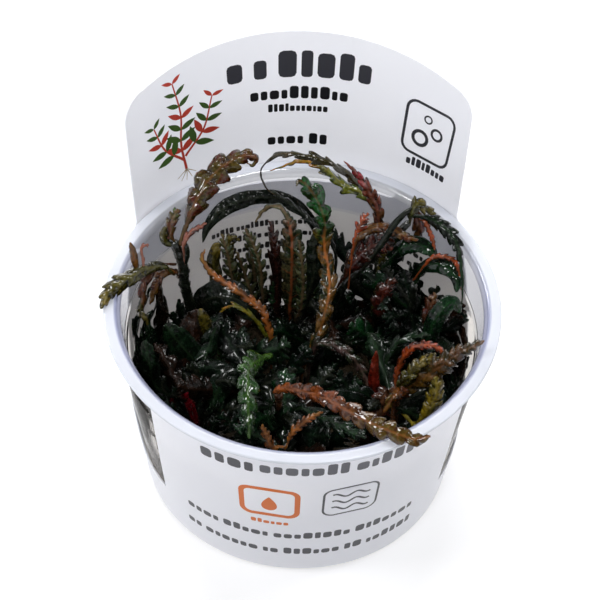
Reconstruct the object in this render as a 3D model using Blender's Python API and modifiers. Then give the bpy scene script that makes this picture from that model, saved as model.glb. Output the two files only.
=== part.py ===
# Tissue culture cup of an aquarium plant with lobed leaves.
# A clear cup with a wide flange holds nutrient gel and a tangle of plantlets.
# A die-cut white sheet is wrapped round the cup and rises behind it as a tall tag.
# Lengths are written in millimetres and turned into metres by MM.
# The origin is the middle of the cup's underside, +Z is up, and the cup's front looks along -Y.

import math

import bmesh
import bpy
from mathutils import Matrix, Vector

MM = 0.001
GAP = 0.3

# Cup: a wall that opens upwards, an upright collar above a small inner ledge, and a flat flange.
FLOOR_THICKNESS = 1.2
WALL_FOOT_RADIUS = 38.6
LEDGE_HEIGHT = 46.0
WALL_TOP_RADIUS = 45.4
WALL_THICKNESS = 1.1
LEDGE_WIDTH = 0.7
MOUTH_RADIUS = 45.0
COLLAR_THICKNESS = 0.9
FLANGE_RADIUS = 49.9
FLANGE_INNER_RADIUS = 46.3
FLANGE_THICKNESS = 0.9
CUP_HEIGHT = 58.3
FLOOR_CORNER = 1.2
FOOT_CORNER = 0.8
MOUTH_CORNER = 1.4
EDGE_ROUND = 0.4
TURN_STEPS = 32

# Nutrient gel in the bottom of the cup, with a hole for each stem.
GEL_DEPTH = 7.5
GEL_CORNER = 1.5
STEM_FOOT = 3.6
HOLE_CLEARANCE = 0.75
HOLE_SIDES = 6

# Wrapped sheet: drawn flat as angle across and height up, then bent on to the cup.
SHEET_THICKNESS = 0.4
SHEET_FOOT = 0.9
SHEET_TOP = 56.9
SHEET_TURN = 4.5
FRONT_RADIUS = 39.4
FRONT_FLARE = 0.154
BACK_RADIUS = 39.7
BACK_FLARE = 0.192
FLARE_CHANGE = (57.0, 118.0)
PANEL_ANGLE_TOP = 54.0
PANEL_ANGLE_FOOT = 57.0
PANEL_CORNER = 2.0
BAND_TOP = 14.6
BAND_FLAT_END = 66.0
TAG_ANGLE = 54.4
TAG_ANGLE_HIGH = 50.9
TAG_NECK = 58.0
TAG_SHOULDER = 86.0
TAG_CORNER = 93.2
TAG_TOP = 97.4
TAG_CORNER_ANGLE = 42.5
RISE_POWER = 1.6
RISE_STEPS = 6
SHOULDER_STEPS = 4
TAG_TOP_STEPS = 5
SLOT_ANGLE = 33.0
SLOT_FOOT = 51.4
SLOT_TOP = 57.6
SLOT_END_STEPS = 5
SEAM_ANGLE = 80.0
SEAM_GAP = 0.4
BEND_STEP = 6.0
FLAT_TOLERANCE = 0.01

# Stems: rings along the tube, and how much thinner it is at its top. A side shoot's thicknesses.
RINGS_PER_SPAN = 3
STEM_TAPER = 0.3
SHOOT_THICKNESSES = (1.7, 1.5, 1.3)

# Low leaves: share of the reach, width and thickness at each section.
LOW_LEAF_SECTIONS = ((0.35, 3.2, 0.9), (0.65, 5.4, 0.7), (1.0, 0.8, 0.4))
LOW_LEAF_START = 13.0
LOW_LEAF_SPACING = 4.0
LOW_LEAF_TURN = 137.5
LOW_LEAF_CLIMB = 0.55
LOW_LEAF_ARCH = 1.5
LOW_LEAF_WALL_GAP = 2.0
LOW_LEAF_SHRINK = 0.9

# Leaf blades: where the lobes start along the midrib and how far they go on, how deep the notches
# between them are, how far the lobes point to the tip, and how the blade thins to its tip.
LEAF_THICKNESS = 0.9
LEAF_THINNING = 0.6
PLAIN_ARCH = 0.15
LOBES_START = 0.08
LOBES_SPAN = 0.88
NOTCH_REACH = 0.45
TIP_REACH = 0.6
LOBE_SWEEP = 0.25
STALK_END = 0.1
STALK_WIDTH = 0.16
TIP_WIDTH = 0.12
TO_VIEWER = Vector((0.0, -0.65, 0.76))

# Colours seen in the photograph, as linear red, green and blue.
COLOURS = {
    "clear": (0.80, 0.83, 0.88),
    "sheet": (0.80, 0.81, 0.86),
    "gel": (0.30, 0.27, 0.20),
    "black green": (0.010, 0.016, 0.010),
    "dark green": (0.012, 0.035, 0.014),
    "green": (0.022, 0.085, 0.016),
    "olive": (0.075, 0.075, 0.010),
    "grey green": (0.050, 0.060, 0.035),
    "yellow": (0.260, 0.190, 0.012),
    "golden": (0.200, 0.095, 0.022),
    "brown": (0.080, 0.035, 0.014),
    "red brown": (0.085, 0.018, 0.010),
    "orange": (0.340, 0.085, 0.018),
    "pink": (0.370, 0.065, 0.060),
    "red": (0.300, 0.010, 0.012),
}

# Stems: the route up from the gel, the radius, side shoots and small low leaves.
# A shoot is a start height and its route. Low leaves stand one above the other, each turned
# on from the one below, and reach about as far as stated.
PLANTLETS = [
    {
        "name": "plantlet_back_left", "colour": "black green", "radius": 1.3,
        "route": [(-27, 19, 0), (-27, 19, 12), (-28, 18.5, 28), (-30, 18.5, 42), (-33, 21, 57)],
        "shoots": [],
        "low_leaves": {"first_turn": 10, "count": 6, "reach": 13},
    },
    {
        "name": "plantlet_back_centre", "colour": "dark green", "radius": 1.2,
        "route": [(-8, 28, 0), (-8, 28, 11), (-9, 27.5, 15), (-12, 26.5, 19), (-14, 25.5, 22)],
        "shoots": [(12, [(-5, 27.5, 14), (-3, 26.5, 17), (-2.5, 26, 19)])],
        "low_leaves": {"first_turn": 200, "count": 4, "reach": 11},
    },
    {
        "name": "plantlet_back_right", "colour": "olive", "radius": 1.3,
        "route": [(19, 28, 0), (19, 28, 12), (19.3, 28.6, 24), (20, 30, 38), (20.5, 32, 50)],
        "shoots": [],
        "low_leaves": {"first_turn": 50, "count": 4, "reach": 11},
    },
    {
        "name": "stem_back_right_thin", "colour": "black green", "radius": 0.7,
        "route": [(12, 32.5, 0), (12, 32.5, 14), (14, 32, 32), (15.5, 31.5, 55)],
        "shoots": [],
        "low_leaves": {"first_turn": 0, "count": 0, "reach": 0},
    },
    {
        "name": "plantlet_leaning", "colour": "black green", "radius": 1.2,
        "route": [(4, 18, 0), (4, 18, 12), (6.5, 18.5, 26), (10, 20, 42), (18, 22.5, 53), (26.5, 26.5, 62)],
        "shoots": [],
        "low_leaves": {"first_turn": 105, "count": 6, "reach": 12},
    },
    {
        "name": "plantlet_right", "colour": "black green", "radius": 1.2,
        "route": [(29, 13, 0), (29, 13, 12), (28.5, 17, 28), (28.5, 20.5, 45)],
        "shoots": [(18, [(30, 11, 22), (31.5, 8.8, 30), (32, 8.6, 38)])],
        "low_leaves": {"first_turn": 0, "count": 6, "reach": 11},
    },
    {
        "name": "plantlet_front_right", "colour": "brown", "radius": 1.2,
        "route": [(25, -14, 0), (25, -14, 12), (24.5, -13.5, 27), (24.5, -12.5, 40)],
        "shoots": [],
        "low_leaves": {"first_turn": 90, "count": 7, "reach": 12},
    },
    {
        "name": "plantlet_front_left", "colour": "dark green", "radius": 1.2,
        "route": [(-15, -7, 0), (-15, -7, 12), (-14, -8, 30), (-11.5, -8, 46)],
        "shoots": [(18, [(-17, -4, 24), (-20, -0.5, 32), (-21, 2.6, 42)])],
        "low_leaves": {"first_turn": 50, "count": 7, "reach": 12},
    },
    {
        "name": "plantlet_centre", "colour": "black green", "radius": 1.2,
        "route": [(1, 1, 0), (1, 1, 12), (0.6, 1.6, 22)],
        "shoots": [(11, [(-3, 3, 14), (-6, 5, 19), (-7.4, 5.8, 26)])],
        "low_leaves": {"first_turn": 300, "count": 4, "reach": 11},
    },
    {
        "name": "plantlet_front", "colour": "brown", "radius": 1.2,
        "route": [(-5, -19, 0), (-5, -19, 12), (-5, -19, 30), (-5, -18.5, 46)],
        "shoots": [(18, [(-4, -22, 24), (-3, -27, 32), (-3, -31.3, 40.5)])],
        "low_leaves": {"first_turn": 155, "count": 7, "reach": 12},
    },
    {
        "name": "plantlet_left_red", "colour": "red", "radius": 1.0,
        "route": [(-27, -12, 0), (-27, -12, 12), (-26, -16.5, 30), (-28.8, -16.2, 43)],
        "shoots": [(18, [(-29.5, -10.5, 21), (-32, -9, 26), (-33, -9, 31)])],
        "low_leaves": {"first_turn": 240, "count": 6, "reach": 11},
    },
]

# Leaves: width across the lobes, pairs of lobes, colour and the midrib's route from base to tip.
# "across" turns a blade that isn't laid open to the viewer; "arch" bends its edges down.
LEAVES = [
    {"name": "leaf_back_left_wrinkled", "width": 9.5, "lobes": 7, "colour": "brown", "arch": 0.25,
     "route": [(-33.4, 21.6, 58), (-32, 23.7, 64), (-27.2, 28, 69), (-21, 31.8, 72), (-16.1, 35.1, 74),
               (-12.8, 35.5, 73), (-13.6, 34.5, 71)]},
    {"name": "leaf_back_left_pink", "width": 2.5, "lobes": 4, "colour": "pink",
     "route": [(-29.2, 18, 50), (-29.2, 20.6, 56), (-25.7, 24.4, 61), (-22.5, 26, 61)]},
    {"name": "leaf_left_rim_olive", "width": 4.2, "lobes": 6, "colour": "olive", "arch": 0.4,
     "route": [(-33.9, 17.6, 52), (-37.7, 11.6, 57.5), (-43.5, 4.7, 61), (-47.7, 0, 61.5),
               (-50, -3.8, 61), (-51, -6.3, 59.5)]},
    {"name": "leaf_left_rim_upright", "width": 2.2, "lobes": 3, "colour": "golden",
     "route": [(-42.2, 8.4, 61), (-42.8, 9.4, 64.5), (-43.8, 10.4, 68)]},
    {"name": "leaf_left_brown_hanging", "width": 3.4, "lobes": 4, "colour": "brown",
     "route": [(-31.6, 16.3, 46), (-34.6, 13, 50.5), (-36.8, 10, 49.5), (-37.6, 8.6, 44)]},
    {"name": "leaf_left_curled", "width": 3.0, "lobes": 5, "colour": "golden",
     "route": [(-32.4, 20.6, 46), (-37.6, 15.6, 53), (-41, 9.5, 54), (-41.5, 5.5, 50), (-39.7, 4.4, 43.5)]},
    {"name": "leaf_back_black_arch", "width": 5.2, "lobes": 6, "colour": "black green", "arch": 0.3,
     "route": [(0, 29.5, 17), (1, 32.5, 30), (1.8, 35.5, 43), (-4.3, 37.2, 55), (-11.6, 37.4, 58),
               (-18.5, 36, 57), (-23.5, 32.6, 54), (-26.5, 29.7, 46)]},
    {"name": "leaf_back_grey_left", "width": 5.0, "lobes": 6, "colour": "grey green",
     "route": [(-15, 24.8, 22.8), (-18, 23.2, 38), (-19.7, 23.8, 49), (-21.5, 25, 56)]},
    {"name": "leaf_back_grey_middle", "width": 5.0, "lobes": 6, "colour": "grey green",
     "route": [(-13, 26.4, 23.2), (-12.6, 27, 35), (-13.8, 28.8, 46), (-15.4, 30, 53)]},
    {"name": "leaf_back_red_rib", "width": 5.2, "lobes": 6, "colour": "grey green",
     "route": [(-2.9, 25.6, 20), (-3.2, 25.8, 32), (-2.9, 26.8, 45), (-3.8, 29.2, 56)]},
    {"name": "leaf_back_grey_right", "width": 4.6, "lobes": 6, "colour": "grey green",
     "route": [(-1.2, 26.4, 19.6), (2.2, 26, 32), (2.2, 25.6, 42), (0.8, 26.4, 50)]},
    {"name": "leaf_back_toothed_red", "width": 3.6, "lobes": 6, "colour": "red brown",
     "route": [(-5.4, 25.4, 17), (-7.2, 22.6, 30), (-7.8, 23.4, 42), (-8.6, 25.8, 51), (-9.6, 29, 60)]},
    {"name": "leaf_back_long_curl", "width": 3.0, "lobes": 10, "colour": "black green",
     "across": (0, 1, 0.25),
     "route": [(20.4, 32.6, 51), (18.1, 33.4, 61), (13.9, 33.3, 68), (8.7, 33.4, 72), (2.5, 34.4, 74),
               (-4, 35.8, 75), (-8.3, 36.7, 73.5), (-11.5, 36.4, 71), (-12.2, 35.7, 68), (-11.1, 34.7, 65)]},
    {"name": "leaf_back_tip_curl", "width": 3.0, "lobes": 5, "colour": "black green",
     "across": (0, 1, 0.4),
     "route": [(6.4, 20.6, 30), (8, 25, 41), (7.6, 28.4, 49), (3.2, 29.8, 55), (-1.6, 31, 59),
               (-5.6, 32.6, 61.5), (-9, 33.6, 63.5)]},
    {"name": "leaf_back_yellow_arch", "width": 2.6, "lobes": 9, "colour": "yellow",
     "across": (0, 1, 0.3),
     "route": [(22.2, 33.6, 47.5), (19.6, 36, 54), (14.3, 37.6, 57), (8.5, 38.6, 59), (2.2, 39.3, 62),
               (-3.1, 41, 65), (-7.7, 41, 64.5), (-11, 40, 61)]},
    {"name": "leaf_back_pink_upright", "width": 2.6, "lobes": 7, "colour": "pink",
     "route": [(18.8, 30.4, 49), (18.6, 29.8, 56), (16.7, 29.8, 63), (13.3, 29.4, 71), (9.2, 30, 79)]},
    {"name": "leaf_centre_long_golden", "width": 5.6, "lobes": 11, "colour": "golden", "arch": 0.2,
     "route": [(0.9, 2.2, 23), (1.9, 5, 33), (5, 9.4, 38), (6.9, 16.4, 45), (5.8, 22.4, 51),
               (6.6, 25, 60), (4.6, 27, 69), (0.9, 28, 73), (-2.3, 26.4, 72)]},
    {"name": "leaf_red_twig", "width": 3.4, "lobes": 4, "colour": "orange",
     "route": [(11.6, 18.4, 45.5), (11.2, 18.8, 53), (12, 20.4, 60), (13.8, 21.6, 65), (15.2, 22.8, 69)]},
    {"name": "leaf_right_brown_wrinkled", "width": 5.6, "lobes": 5, "colour": "red brown",
     "route": [(9.6, 22.4, 43), (12.6, 22.8, 51.5), (15.6, 22.6, 57.5), (19, 22.4, 58.5)]},
    {"name": "leaf_right_golden_bridge", "width": 4.0, "lobes": 5, "colour": "golden",
     "route": [(17.4, 24.8, 54), (20.8, 24.4, 61), (25, 22.6, 63.5), (29.4, 22.2, 61.5)]},
    {"name": "leaf_right_drape", "width": 4.2, "lobes": 9, "colour": "dark green", "arch": 0.3,
     "route": [(27, 28.2, 63.5), (31.5, 26.8, 66.5), (36, 22.4, 64), (38.4, 19, 58), (39.2, 14.2, 49),
               (38.6, 11, 38)]},
    {"name": "leaf_right_green_gloss", "width": 4.4, "lobes": 4, "colour": "green",
     "route": [(20.6, 22.6, 49), (23.4, 22.6, 55.5), (27.4, 22.4, 57), (31.4, 22.6, 53.5)]},
    {"name": "leaf_right_orange_thin", "width": 1.8, "lobes": 5, "colour": "orange",
     "route": [(29.2, 26.6, 62), (31.2, 24.6, 62.5), (32.9, 22.7, 60), (33.6, 21.4, 56)]},
    {"name": "leaf_right_red_thin", "width": 1.8, "lobes": 6, "colour": "red",
     "route": [(28.6, 19.4, 46.5), (30.4, 19.2, 54), (33.4, 18.8, 57), (36, 18.2, 55), (36.8, 16.8, 51.5)]},
    {"name": "leaf_right_green_fan", "width": 5.2, "lobes": 4, "colour": "dark green",
     "route": [(29.8, 20.4, 46), (32.4, 19.4, 50), (35, 16.8, 51.5), (36.6, 14, 48.5), (36.8, 11.8, 43)]},
    {"name": "leaf_right_dark_arc", "width": 5.0, "lobes": 5, "colour": "red brown",
     "route": [(26.6, 18.6, 30), (21.5, 17.8, 36), (20.6, 18.8, 42.5), (23.6, 20.6, 46.5)]},
    {"name": "leaf_right_pink_brown", "width": 3.4, "lobes": 4, "colour": "brown",
     "route": [(32, 8.8, 39), (32.2, 10, 43), (33, 11.6, 47), (33.6, 13.2, 50)]},
    {"name": "leaf_right_brown_hanging", "width": 5.0, "lobes": 4, "colour": "brown",
     "route": [(28.2, 29, 61.5), (29.6, 28.2, 57), (29.4, 26.4, 52), (28.8, 25, 47)]},
    {"name": "leaf_orange_narrow", "width": 3.2, "lobes": 8, "colour": "orange",
     "route": [(-7, 5.1, 27.2), (-7.3, 4.4, 34), (-8.6, 6, 42), (-12.1, 8, 48.5), (-17.3, 8.8, 53.5),
               (-21.7, 11, 56.5), (-25.7, 14.3, 57)]},
    {"name": "leaf_yellow_curl", "width": 2.2, "lobes": 6, "colour": "yellow",
     "route": [(-8.2, 6.8, 27.2), (-9.2, 7.2, 34), (-10.4, 5.6, 40), (-13, 5.6, 46), (-17, 7, 48.5),
               (-20, 7.8, 47), (-22.4, 8.6, 43.5)]},
    {"name": "leaf_left_oval_olive", "width": 4.2, "lobes": 2, "colour": "olive",
     "route": [(-22.2, 1.6, 42.6), (-23, 0.4, 46.5), (-24.4, 0.4, 50.5), (-25.3, 1, 53.5)]},
    {"name": "leaf_left_dark_green", "width": 4.0, "lobes": 4, "colour": "dark green",
     "route": [(-20.4, 1.4, 44.2), (-19.8, -1.8, 46.4), (-20.8, -5, 45), (-23, -7.6, 40), (-25.4, -8.8, 34)]},
    {"name": "leaf_left_wall_teal", "width": 4.6, "lobes": 4, "colour": "dark green",
     "route": [(-33.3, -9.1, 32), (-35, -7.7, 40), (-37, -4.6, 46), (-38.6, -0.5, 50)]},
    {"name": "leaf_front_green_lobed", "width": 6.4, "lobes": 6, "colour": "green", "arch": 0.25,
     "route": [(-11.4, -8.5, 47.2), (-11.4, -12, 53.5), (-12.2, -17, 56.5), (-12.2, -24.5, 56),
               (-11.6, -29.5, 52), (-11.4, -33, 45)]},
    {"name": "leaf_front_left_olive", "width": 5.0, "lobes": 4, "colour": "olive",
     "route": [(-15.4, -9.4, 36), (-17, -10, 40.4), (-19.2, -11.6, 41), (-21, -13.8, 37.6), (-21.8, -15, 32)]},
    {"name": "leaf_centre_grey_arch", "width": 4.6, "lobes": 7, "colour": "grey green", "arch": 0.3,
     "route": [(2.2, 0.4, 21), (4.4, 1.6, 32), (7.4, 1.4, 40.5), (11.4, -0.4, 44), (15.8, -3.6, 43.5),
               (18.8, -7.4, 39.5), (19.8, -9.6, 33)]},
    {"name": "leaf_front_rim_orange", "width": 5.6, "lobes": 9, "colour": "orange", "arch": 0.2,
     "route": [(-4.8, -19, 47.4), (-1.6, -23.4, 53.4), (5.2, -29.4, 57.5), (11.3, -33.9, 60),
               (17.4, -38.1, 61.4), (23, -41.7, 61.6), (28.2, -43, 60.4), (33, -40.2, 57.4)]},
    {"name": "leaf_front_green_under", "width": 5.0, "lobes": 5, "colour": "green",
     "route": [(-3.5, -20.2, 38), (0, -21, 43.5), (3.8, -23, 47), (8.4, -27.2, 49.4), (13.3, -30.9, 50.6),
               (18.2, -33.4, 50)]},
    {"name": "leaf_front_orange_right", "width": 2.2, "lobes": 5, "colour": "orange",
     "route": [(-2.6, -32, 41.8), (-1, -32.3, 48), (2.5, -31, 51.6), (6, -29.6, 53)]},
    {"name": "leaf_front_orange_left", "width": 2.2, "lobes": 4, "colour": "orange",
     "route": [(-3.8, -32, 41.6), (-6, -33.4, 43), (-7.6, -33, 47), (-8.8, -32, 50)]},
    {"name": "leaf_right_rim_brown", "width": 5.0, "lobes": 8, "colour": "brown", "arch": 0.3,
     "route": [(25.2, -13.6, 41.4), (28.4, -17, 50), (33.2, -17.3, 56), (38.1, -16.2, 60.2),
               (42.1, -14.8, 62), (46.4, -12.3, 61.6)]},
    {"name": "leaf_right_orange_arch", "width": 3.4, "lobes": 5, "colour": "orange",
     "route": [(25.4, -11.2, 41), (25.8, -9.6, 47), (27.4, -10, 55), (30.7, -9.8, 59.5),
               (34.2, -9.6, 58.5), (36.6, -10.6, 54)]},
    {"name": "leaf_right_olive", "width": 4.0, "lobes": 5, "colour": "olive",
     "route": [(26.3, -12.6, 41.2), (28.2, -13.4, 47.5), (30.8, -13.2, 52.5), (34.6, -11.6, 54)]},
    {"name": "leaf_right_yellow_wall", "width": 3.8, "lobes": 4, "colour": "yellow",
     "route": [(26.2, -15.4, 38), (30.8, -20, 42), (33.9, -20.2, 47), (36.4, -19.2, 51), (38.8, -17.2, 53.5)]},
    {"name": "leaf_front_orange_brown", "width": 4.8, "lobes": 5, "colour": "brown",
     "route": [(23, -13.4, 40), (21.4, -16, 43.6), (20.2, -18.6, 41), (19.8, -19.8, 34.5)]},
]


def clear_scene():
    """Start from an empty scene."""
    for old in list(bpy.data.objects):
        bpy.data.objects.remove(old, do_unlink=True)


def new_collection(name):
    """Make a collection in the scene, or empty the one that has the name."""
    group = bpy.data.collections.get(name) or bpy.data.collections.new(name)
    if group.name not in bpy.context.scene.collection.children:
        bpy.context.scene.collection.children.link(group)
    return group


def material(name, colour, roughness, metallic=0.0, clear=0.0):
    """Principled BSDF with one colour, and light passing through it where clear is over 0."""
    shade = bpy.data.materials.new(name)
    shade.use_nodes = True
    shader = shade.node_tree.nodes["Principled BSDF"]
    shader.inputs["Base Color"].default_value = (*colour, 1.0)
    shader.inputs["Roughness"].default_value = roughness
    shader.inputs["Metallic"].default_value = metallic
    shader.inputs["Transmission Weight"].default_value = clear
    return shade


def add_object(name, mesh, group, finish=None):
    """Put a mesh in the scene as a named object with its own finish."""
    piece = bpy.data.objects.new(name, mesh)
    group.objects.link(piece)
    if finish:
        mesh.materials.append(finish)
    return piece


def finish_mesh(name, shape):
    """Turn a bmesh into a mesh with its faces pointing out."""
    bmesh.ops.recalc_face_normals(shape, faces=shape.faces)
    if shape.calc_volume(signed=True) < 0:
        bmesh.ops.reverse_faces(shape, faces=shape.faces)
    mesh = bpy.data.meshes.new(name)
    shape.to_mesh(mesh)
    shape.free()
    return mesh


def smooth_point(route, share):
    """Place on the smooth curve through the route's points, for a share from 0 to 1."""
    spans = len(route) - 1
    place = min(max(share, 0.0), 1.0) * spans
    span = min(int(place), spans - 1)
    part = place - span
    start, end = route[span], route[span + 1]
    before = route[span - 1] if span > 0 else start * 2 - end
    after = route[span + 2] if span + 2 <= spans else end * 2 - start
    return 0.5 * (
        start * 2
        + (end - before) * part
        + (before * 2 - start * 5 + end * 4 - after) * part ** 2
        + (start * 3 - before - end * 3 + after) * part ** 3
    )


def smooth_direction(route, share):
    """Unit direction along the smooth curve at a share."""
    step = 0.01
    ahead = smooth_point(route, min(share + step, 1.0))
    behind = smooth_point(route, max(share - step, 0.0))
    return (ahead - behind).normalized()


def turned(name, profile, group, finish):
    """Turn a profile of (radius, height) pairs, in millimetres, about Z."""
    shape = bmesh.new()
    corners = [shape.verts.new((radius * MM, 0.0, height * MM)) for radius, height in profile]
    for first, second in zip(corners, corners[1:]):
        shape.edges.new((first, second))
    mesh = bpy.data.meshes.new(name)
    shape.to_mesh(mesh)
    shape.free()
    piece = add_object(name, mesh, group, finish)
    screw = piece.modifiers.new("turn", "SCREW")
    screw.axis = "Z"
    screw.steps = TURN_STEPS
    screw.render_steps = TURN_STEPS
    screw.use_merge_vertices = True
    screw.merge_threshold = 0.00001
    screw.use_normal_calculate = True
    mesh.shade_smooth()
    return piece


def inner_wall_radius(height):
    """Radius of the cup's inside at a height below the ledge."""
    share = height / LEDGE_HEIGHT
    return WALL_FOOT_RADIUS + (WALL_TOP_RADIUS - WALL_FOOT_RADIUS) * share - WALL_THICKNESS


def make_cup(group):
    """Clear cup: floor, wall, ledge, collar and flange in one turned profile."""
    ledge_radius = inner_wall_radius(LEDGE_HEIGHT)
    collar_outside = MOUTH_RADIUS + COLLAR_THICKNESS
    flange_foot = CUP_HEIGHT - FLANGE_THICKNESS
    floor_corner_top = FLOOR_THICKNESS + FLOOR_CORNER
    profile = [
        (0.0, FLOOR_THICKNESS),
        (inner_wall_radius(FLOOR_THICKNESS) - FLOOR_CORNER, FLOOR_THICKNESS),
        (inner_wall_radius(floor_corner_top), floor_corner_top),
        (ledge_radius - LEDGE_WIDTH, LEDGE_HEIGHT - EDGE_ROUND),
        (MOUTH_RADIUS, LEDGE_HEIGHT + EDGE_ROUND),
        (MOUTH_RADIUS, CUP_HEIGHT - MOUTH_CORNER),
        (MOUTH_RADIUS + EDGE_ROUND, CUP_HEIGHT - EDGE_ROUND),
        (FLANGE_INNER_RADIUS, CUP_HEIGHT),
        (FLANGE_RADIUS - EDGE_ROUND, CUP_HEIGHT),
        (FLANGE_RADIUS, CUP_HEIGHT - EDGE_ROUND),
        (FLANGE_RADIUS - EDGE_ROUND, flange_foot),
        (collar_outside + EDGE_ROUND, flange_foot),
        (collar_outside, flange_foot - EDGE_ROUND),
        (collar_outside, LEDGE_HEIGHT + EDGE_ROUND),
        (WALL_TOP_RADIUS, LEDGE_HEIGHT - EDGE_ROUND),
        (WALL_FOOT_RADIUS, FOOT_CORNER),
        (WALL_FOOT_RADIUS - FOOT_CORNER, 0.0),
        (0.0, 0.0),
    ]
    return turned("clear_cup", profile, group, material("clear_plastic", COLOURS["clear"], 0.08, clear=1.0))


def make_gel(group, cutters):
    """Nutrient gel on the cup's floor, with a hole round each stem's foot."""
    foot = FLOOR_THICKNESS + GAP
    top = foot + GEL_DEPTH
    profile = [
        (0.0, top),
        (inner_wall_radius(top) - GAP, top),
        (inner_wall_radius(foot + GEL_CORNER) - GAP, foot + GEL_CORNER),
        (inner_wall_radius(foot) - GAP - GEL_CORNER, foot),
        (0.0, foot),
    ]
    gel = turned("nutrient_gel", profile, group, material("gel", COLOURS["gel"], 0.15, clear=0.5))
    holes = bmesh.new()
    for plantlet in PLANTLETS:
        x, y, _ = plantlet["route"][0]
        radius = plantlet["radius"] + HOLE_CLEARANCE
        middle = Matrix.Translation(Vector((x, y, STEM_FOOT - GAP + GEL_DEPTH)) * MM)
        bmesh.ops.create_cone(
            holes, cap_ends=True, segments=HOLE_SIDES, radius1=radius * MM, radius2=radius * MM,
            depth=2 * GEL_DEPTH * MM, matrix=middle,
        )
    cutter = add_object("stem_holes", finish_mesh("stem_holes", holes), cutters)
    cutter.hide_render = True
    cutter.display_type = "WIRE"
    cut = gel.modifiers.new("stem holes", "BOOLEAN")
    cut.operation = "DIFFERENCE"
    cut.object = cutter
    return gel


def blend(low, high, value):
    """Ease from 0 at low to 1 at high."""
    share = min(max((value - low) / (high - low), 0.0), 1.0)
    return share * share * (3 - 2 * share)


def bend_sheet(angle, height, depth):
    """Bend a flat place on to the cup: angle from the front in degrees, height and depth in millimetres."""
    share = blend(*FLARE_CHANGE, abs(angle) if abs(angle) <= 180 else 360 - abs(angle))
    foot = FRONT_RADIUS + (BACK_RADIUS - FRONT_RADIUS) * share
    flare = FRONT_FLARE + (BACK_FLARE - FRONT_FLARE) * share
    radius = foot + flare * height - depth
    turn = math.radians(angle)
    return Vector((radius * math.sin(turn), -radius * math.cos(turn), height)) * MM


def tag_side():
    """Right half of the sheet's top edge behind the cup, from the low band to the tag's middle."""
    side = [(BAND_FLAT_END, BAND_TOP)]
    rise_end = 180.0 - TAG_ANGLE
    for step in range(1, RISE_STEPS + 1):
        share = step / RISE_STEPS
        angle = BAND_FLAT_END + (rise_end - BAND_FLAT_END) * share
        side.append((angle, BAND_TOP + (TAG_NECK - BAND_TOP) * share ** RISE_POWER))
    side.append((180.0 - TAG_ANGLE_HIGH, TAG_SHOULDER))
    for step in range(1, SHOULDER_STEPS + 1):
        turn = math.radians(90.0 * step / SHOULDER_STEPS)
        angle = TAG_ANGLE_HIGH - (TAG_ANGLE_HIGH - TAG_CORNER_ANGLE) * (1 - math.cos(turn))
        side.append((180.0 - angle, TAG_SHOULDER + (TAG_CORNER - TAG_SHOULDER) * math.sin(turn)))
    for step in range(1, TAG_TOP_STEPS + 1):
        share = step / TAG_TOP_STEPS
        height = TAG_TOP - (TAG_TOP - TAG_CORNER) * (1 - share) ** 2
        side.append((180.0 - TAG_CORNER_ANGLE * (1 - share), height))
    return side


def sheet_outline():
    """Flat outline of the die-cut sheet, as (angle, height) pairs, from the seam once round."""
    back_right = tag_side()
    back_left = [(360.0 - angle, height) for angle, height in reversed(back_right[:-1])]
    seam_gap_angle = math.degrees(SEAM_GAP / FRONT_RADIUS)
    front = [
        (360.0 - PANEL_ANGLE_FOOT, BAND_TOP),
        (360.0 - PANEL_ANGLE_TOP, SHEET_TOP - PANEL_CORNER),
        (360.0 - PANEL_ANGLE_TOP + PANEL_CORNER, SHEET_TOP),
        (360.0 + PANEL_ANGLE_TOP - PANEL_CORNER, SHEET_TOP),
        (360.0 + PANEL_ANGLE_TOP, SHEET_TOP - PANEL_CORNER),
        (360.0 + PANEL_ANGLE_FOOT, BAND_TOP),
    ]
    start = SEAM_ANGLE
    end = 360.0 + SEAM_ANGLE - seam_gap_angle
    rise = [place for place in back_right if place[0] > start]
    first_height = back_right[1][1]
    low_start = [(start, SHEET_FOOT), (start, first_height)]
    last = [(360.0 + BAND_FLAT_END, BAND_TOP), (end, first_height), (end, SHEET_FOOT)]
    return low_start + rise + back_left + front + last


def slot_outline():
    """Round-ended slot through which the rim's back shows."""
    radius = (SLOT_TOP - SLOT_FOOT) / 2
    radius_angle = math.degrees(radius / (BACK_RADIUS + BACK_FLARE * SLOT_TOP))
    outline = []
    for end in (1, -1):
        for step in range(SLOT_END_STEPS + 1):
            turn = math.radians(-90.0 + 180.0 * step / SLOT_END_STEPS)
            across = SLOT_ANGLE - radius_angle + radius_angle * math.cos(turn)
            outline.append((180.0 + end * across, SLOT_FOOT + radius + end * radius * math.sin(turn)))
    return outline


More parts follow.
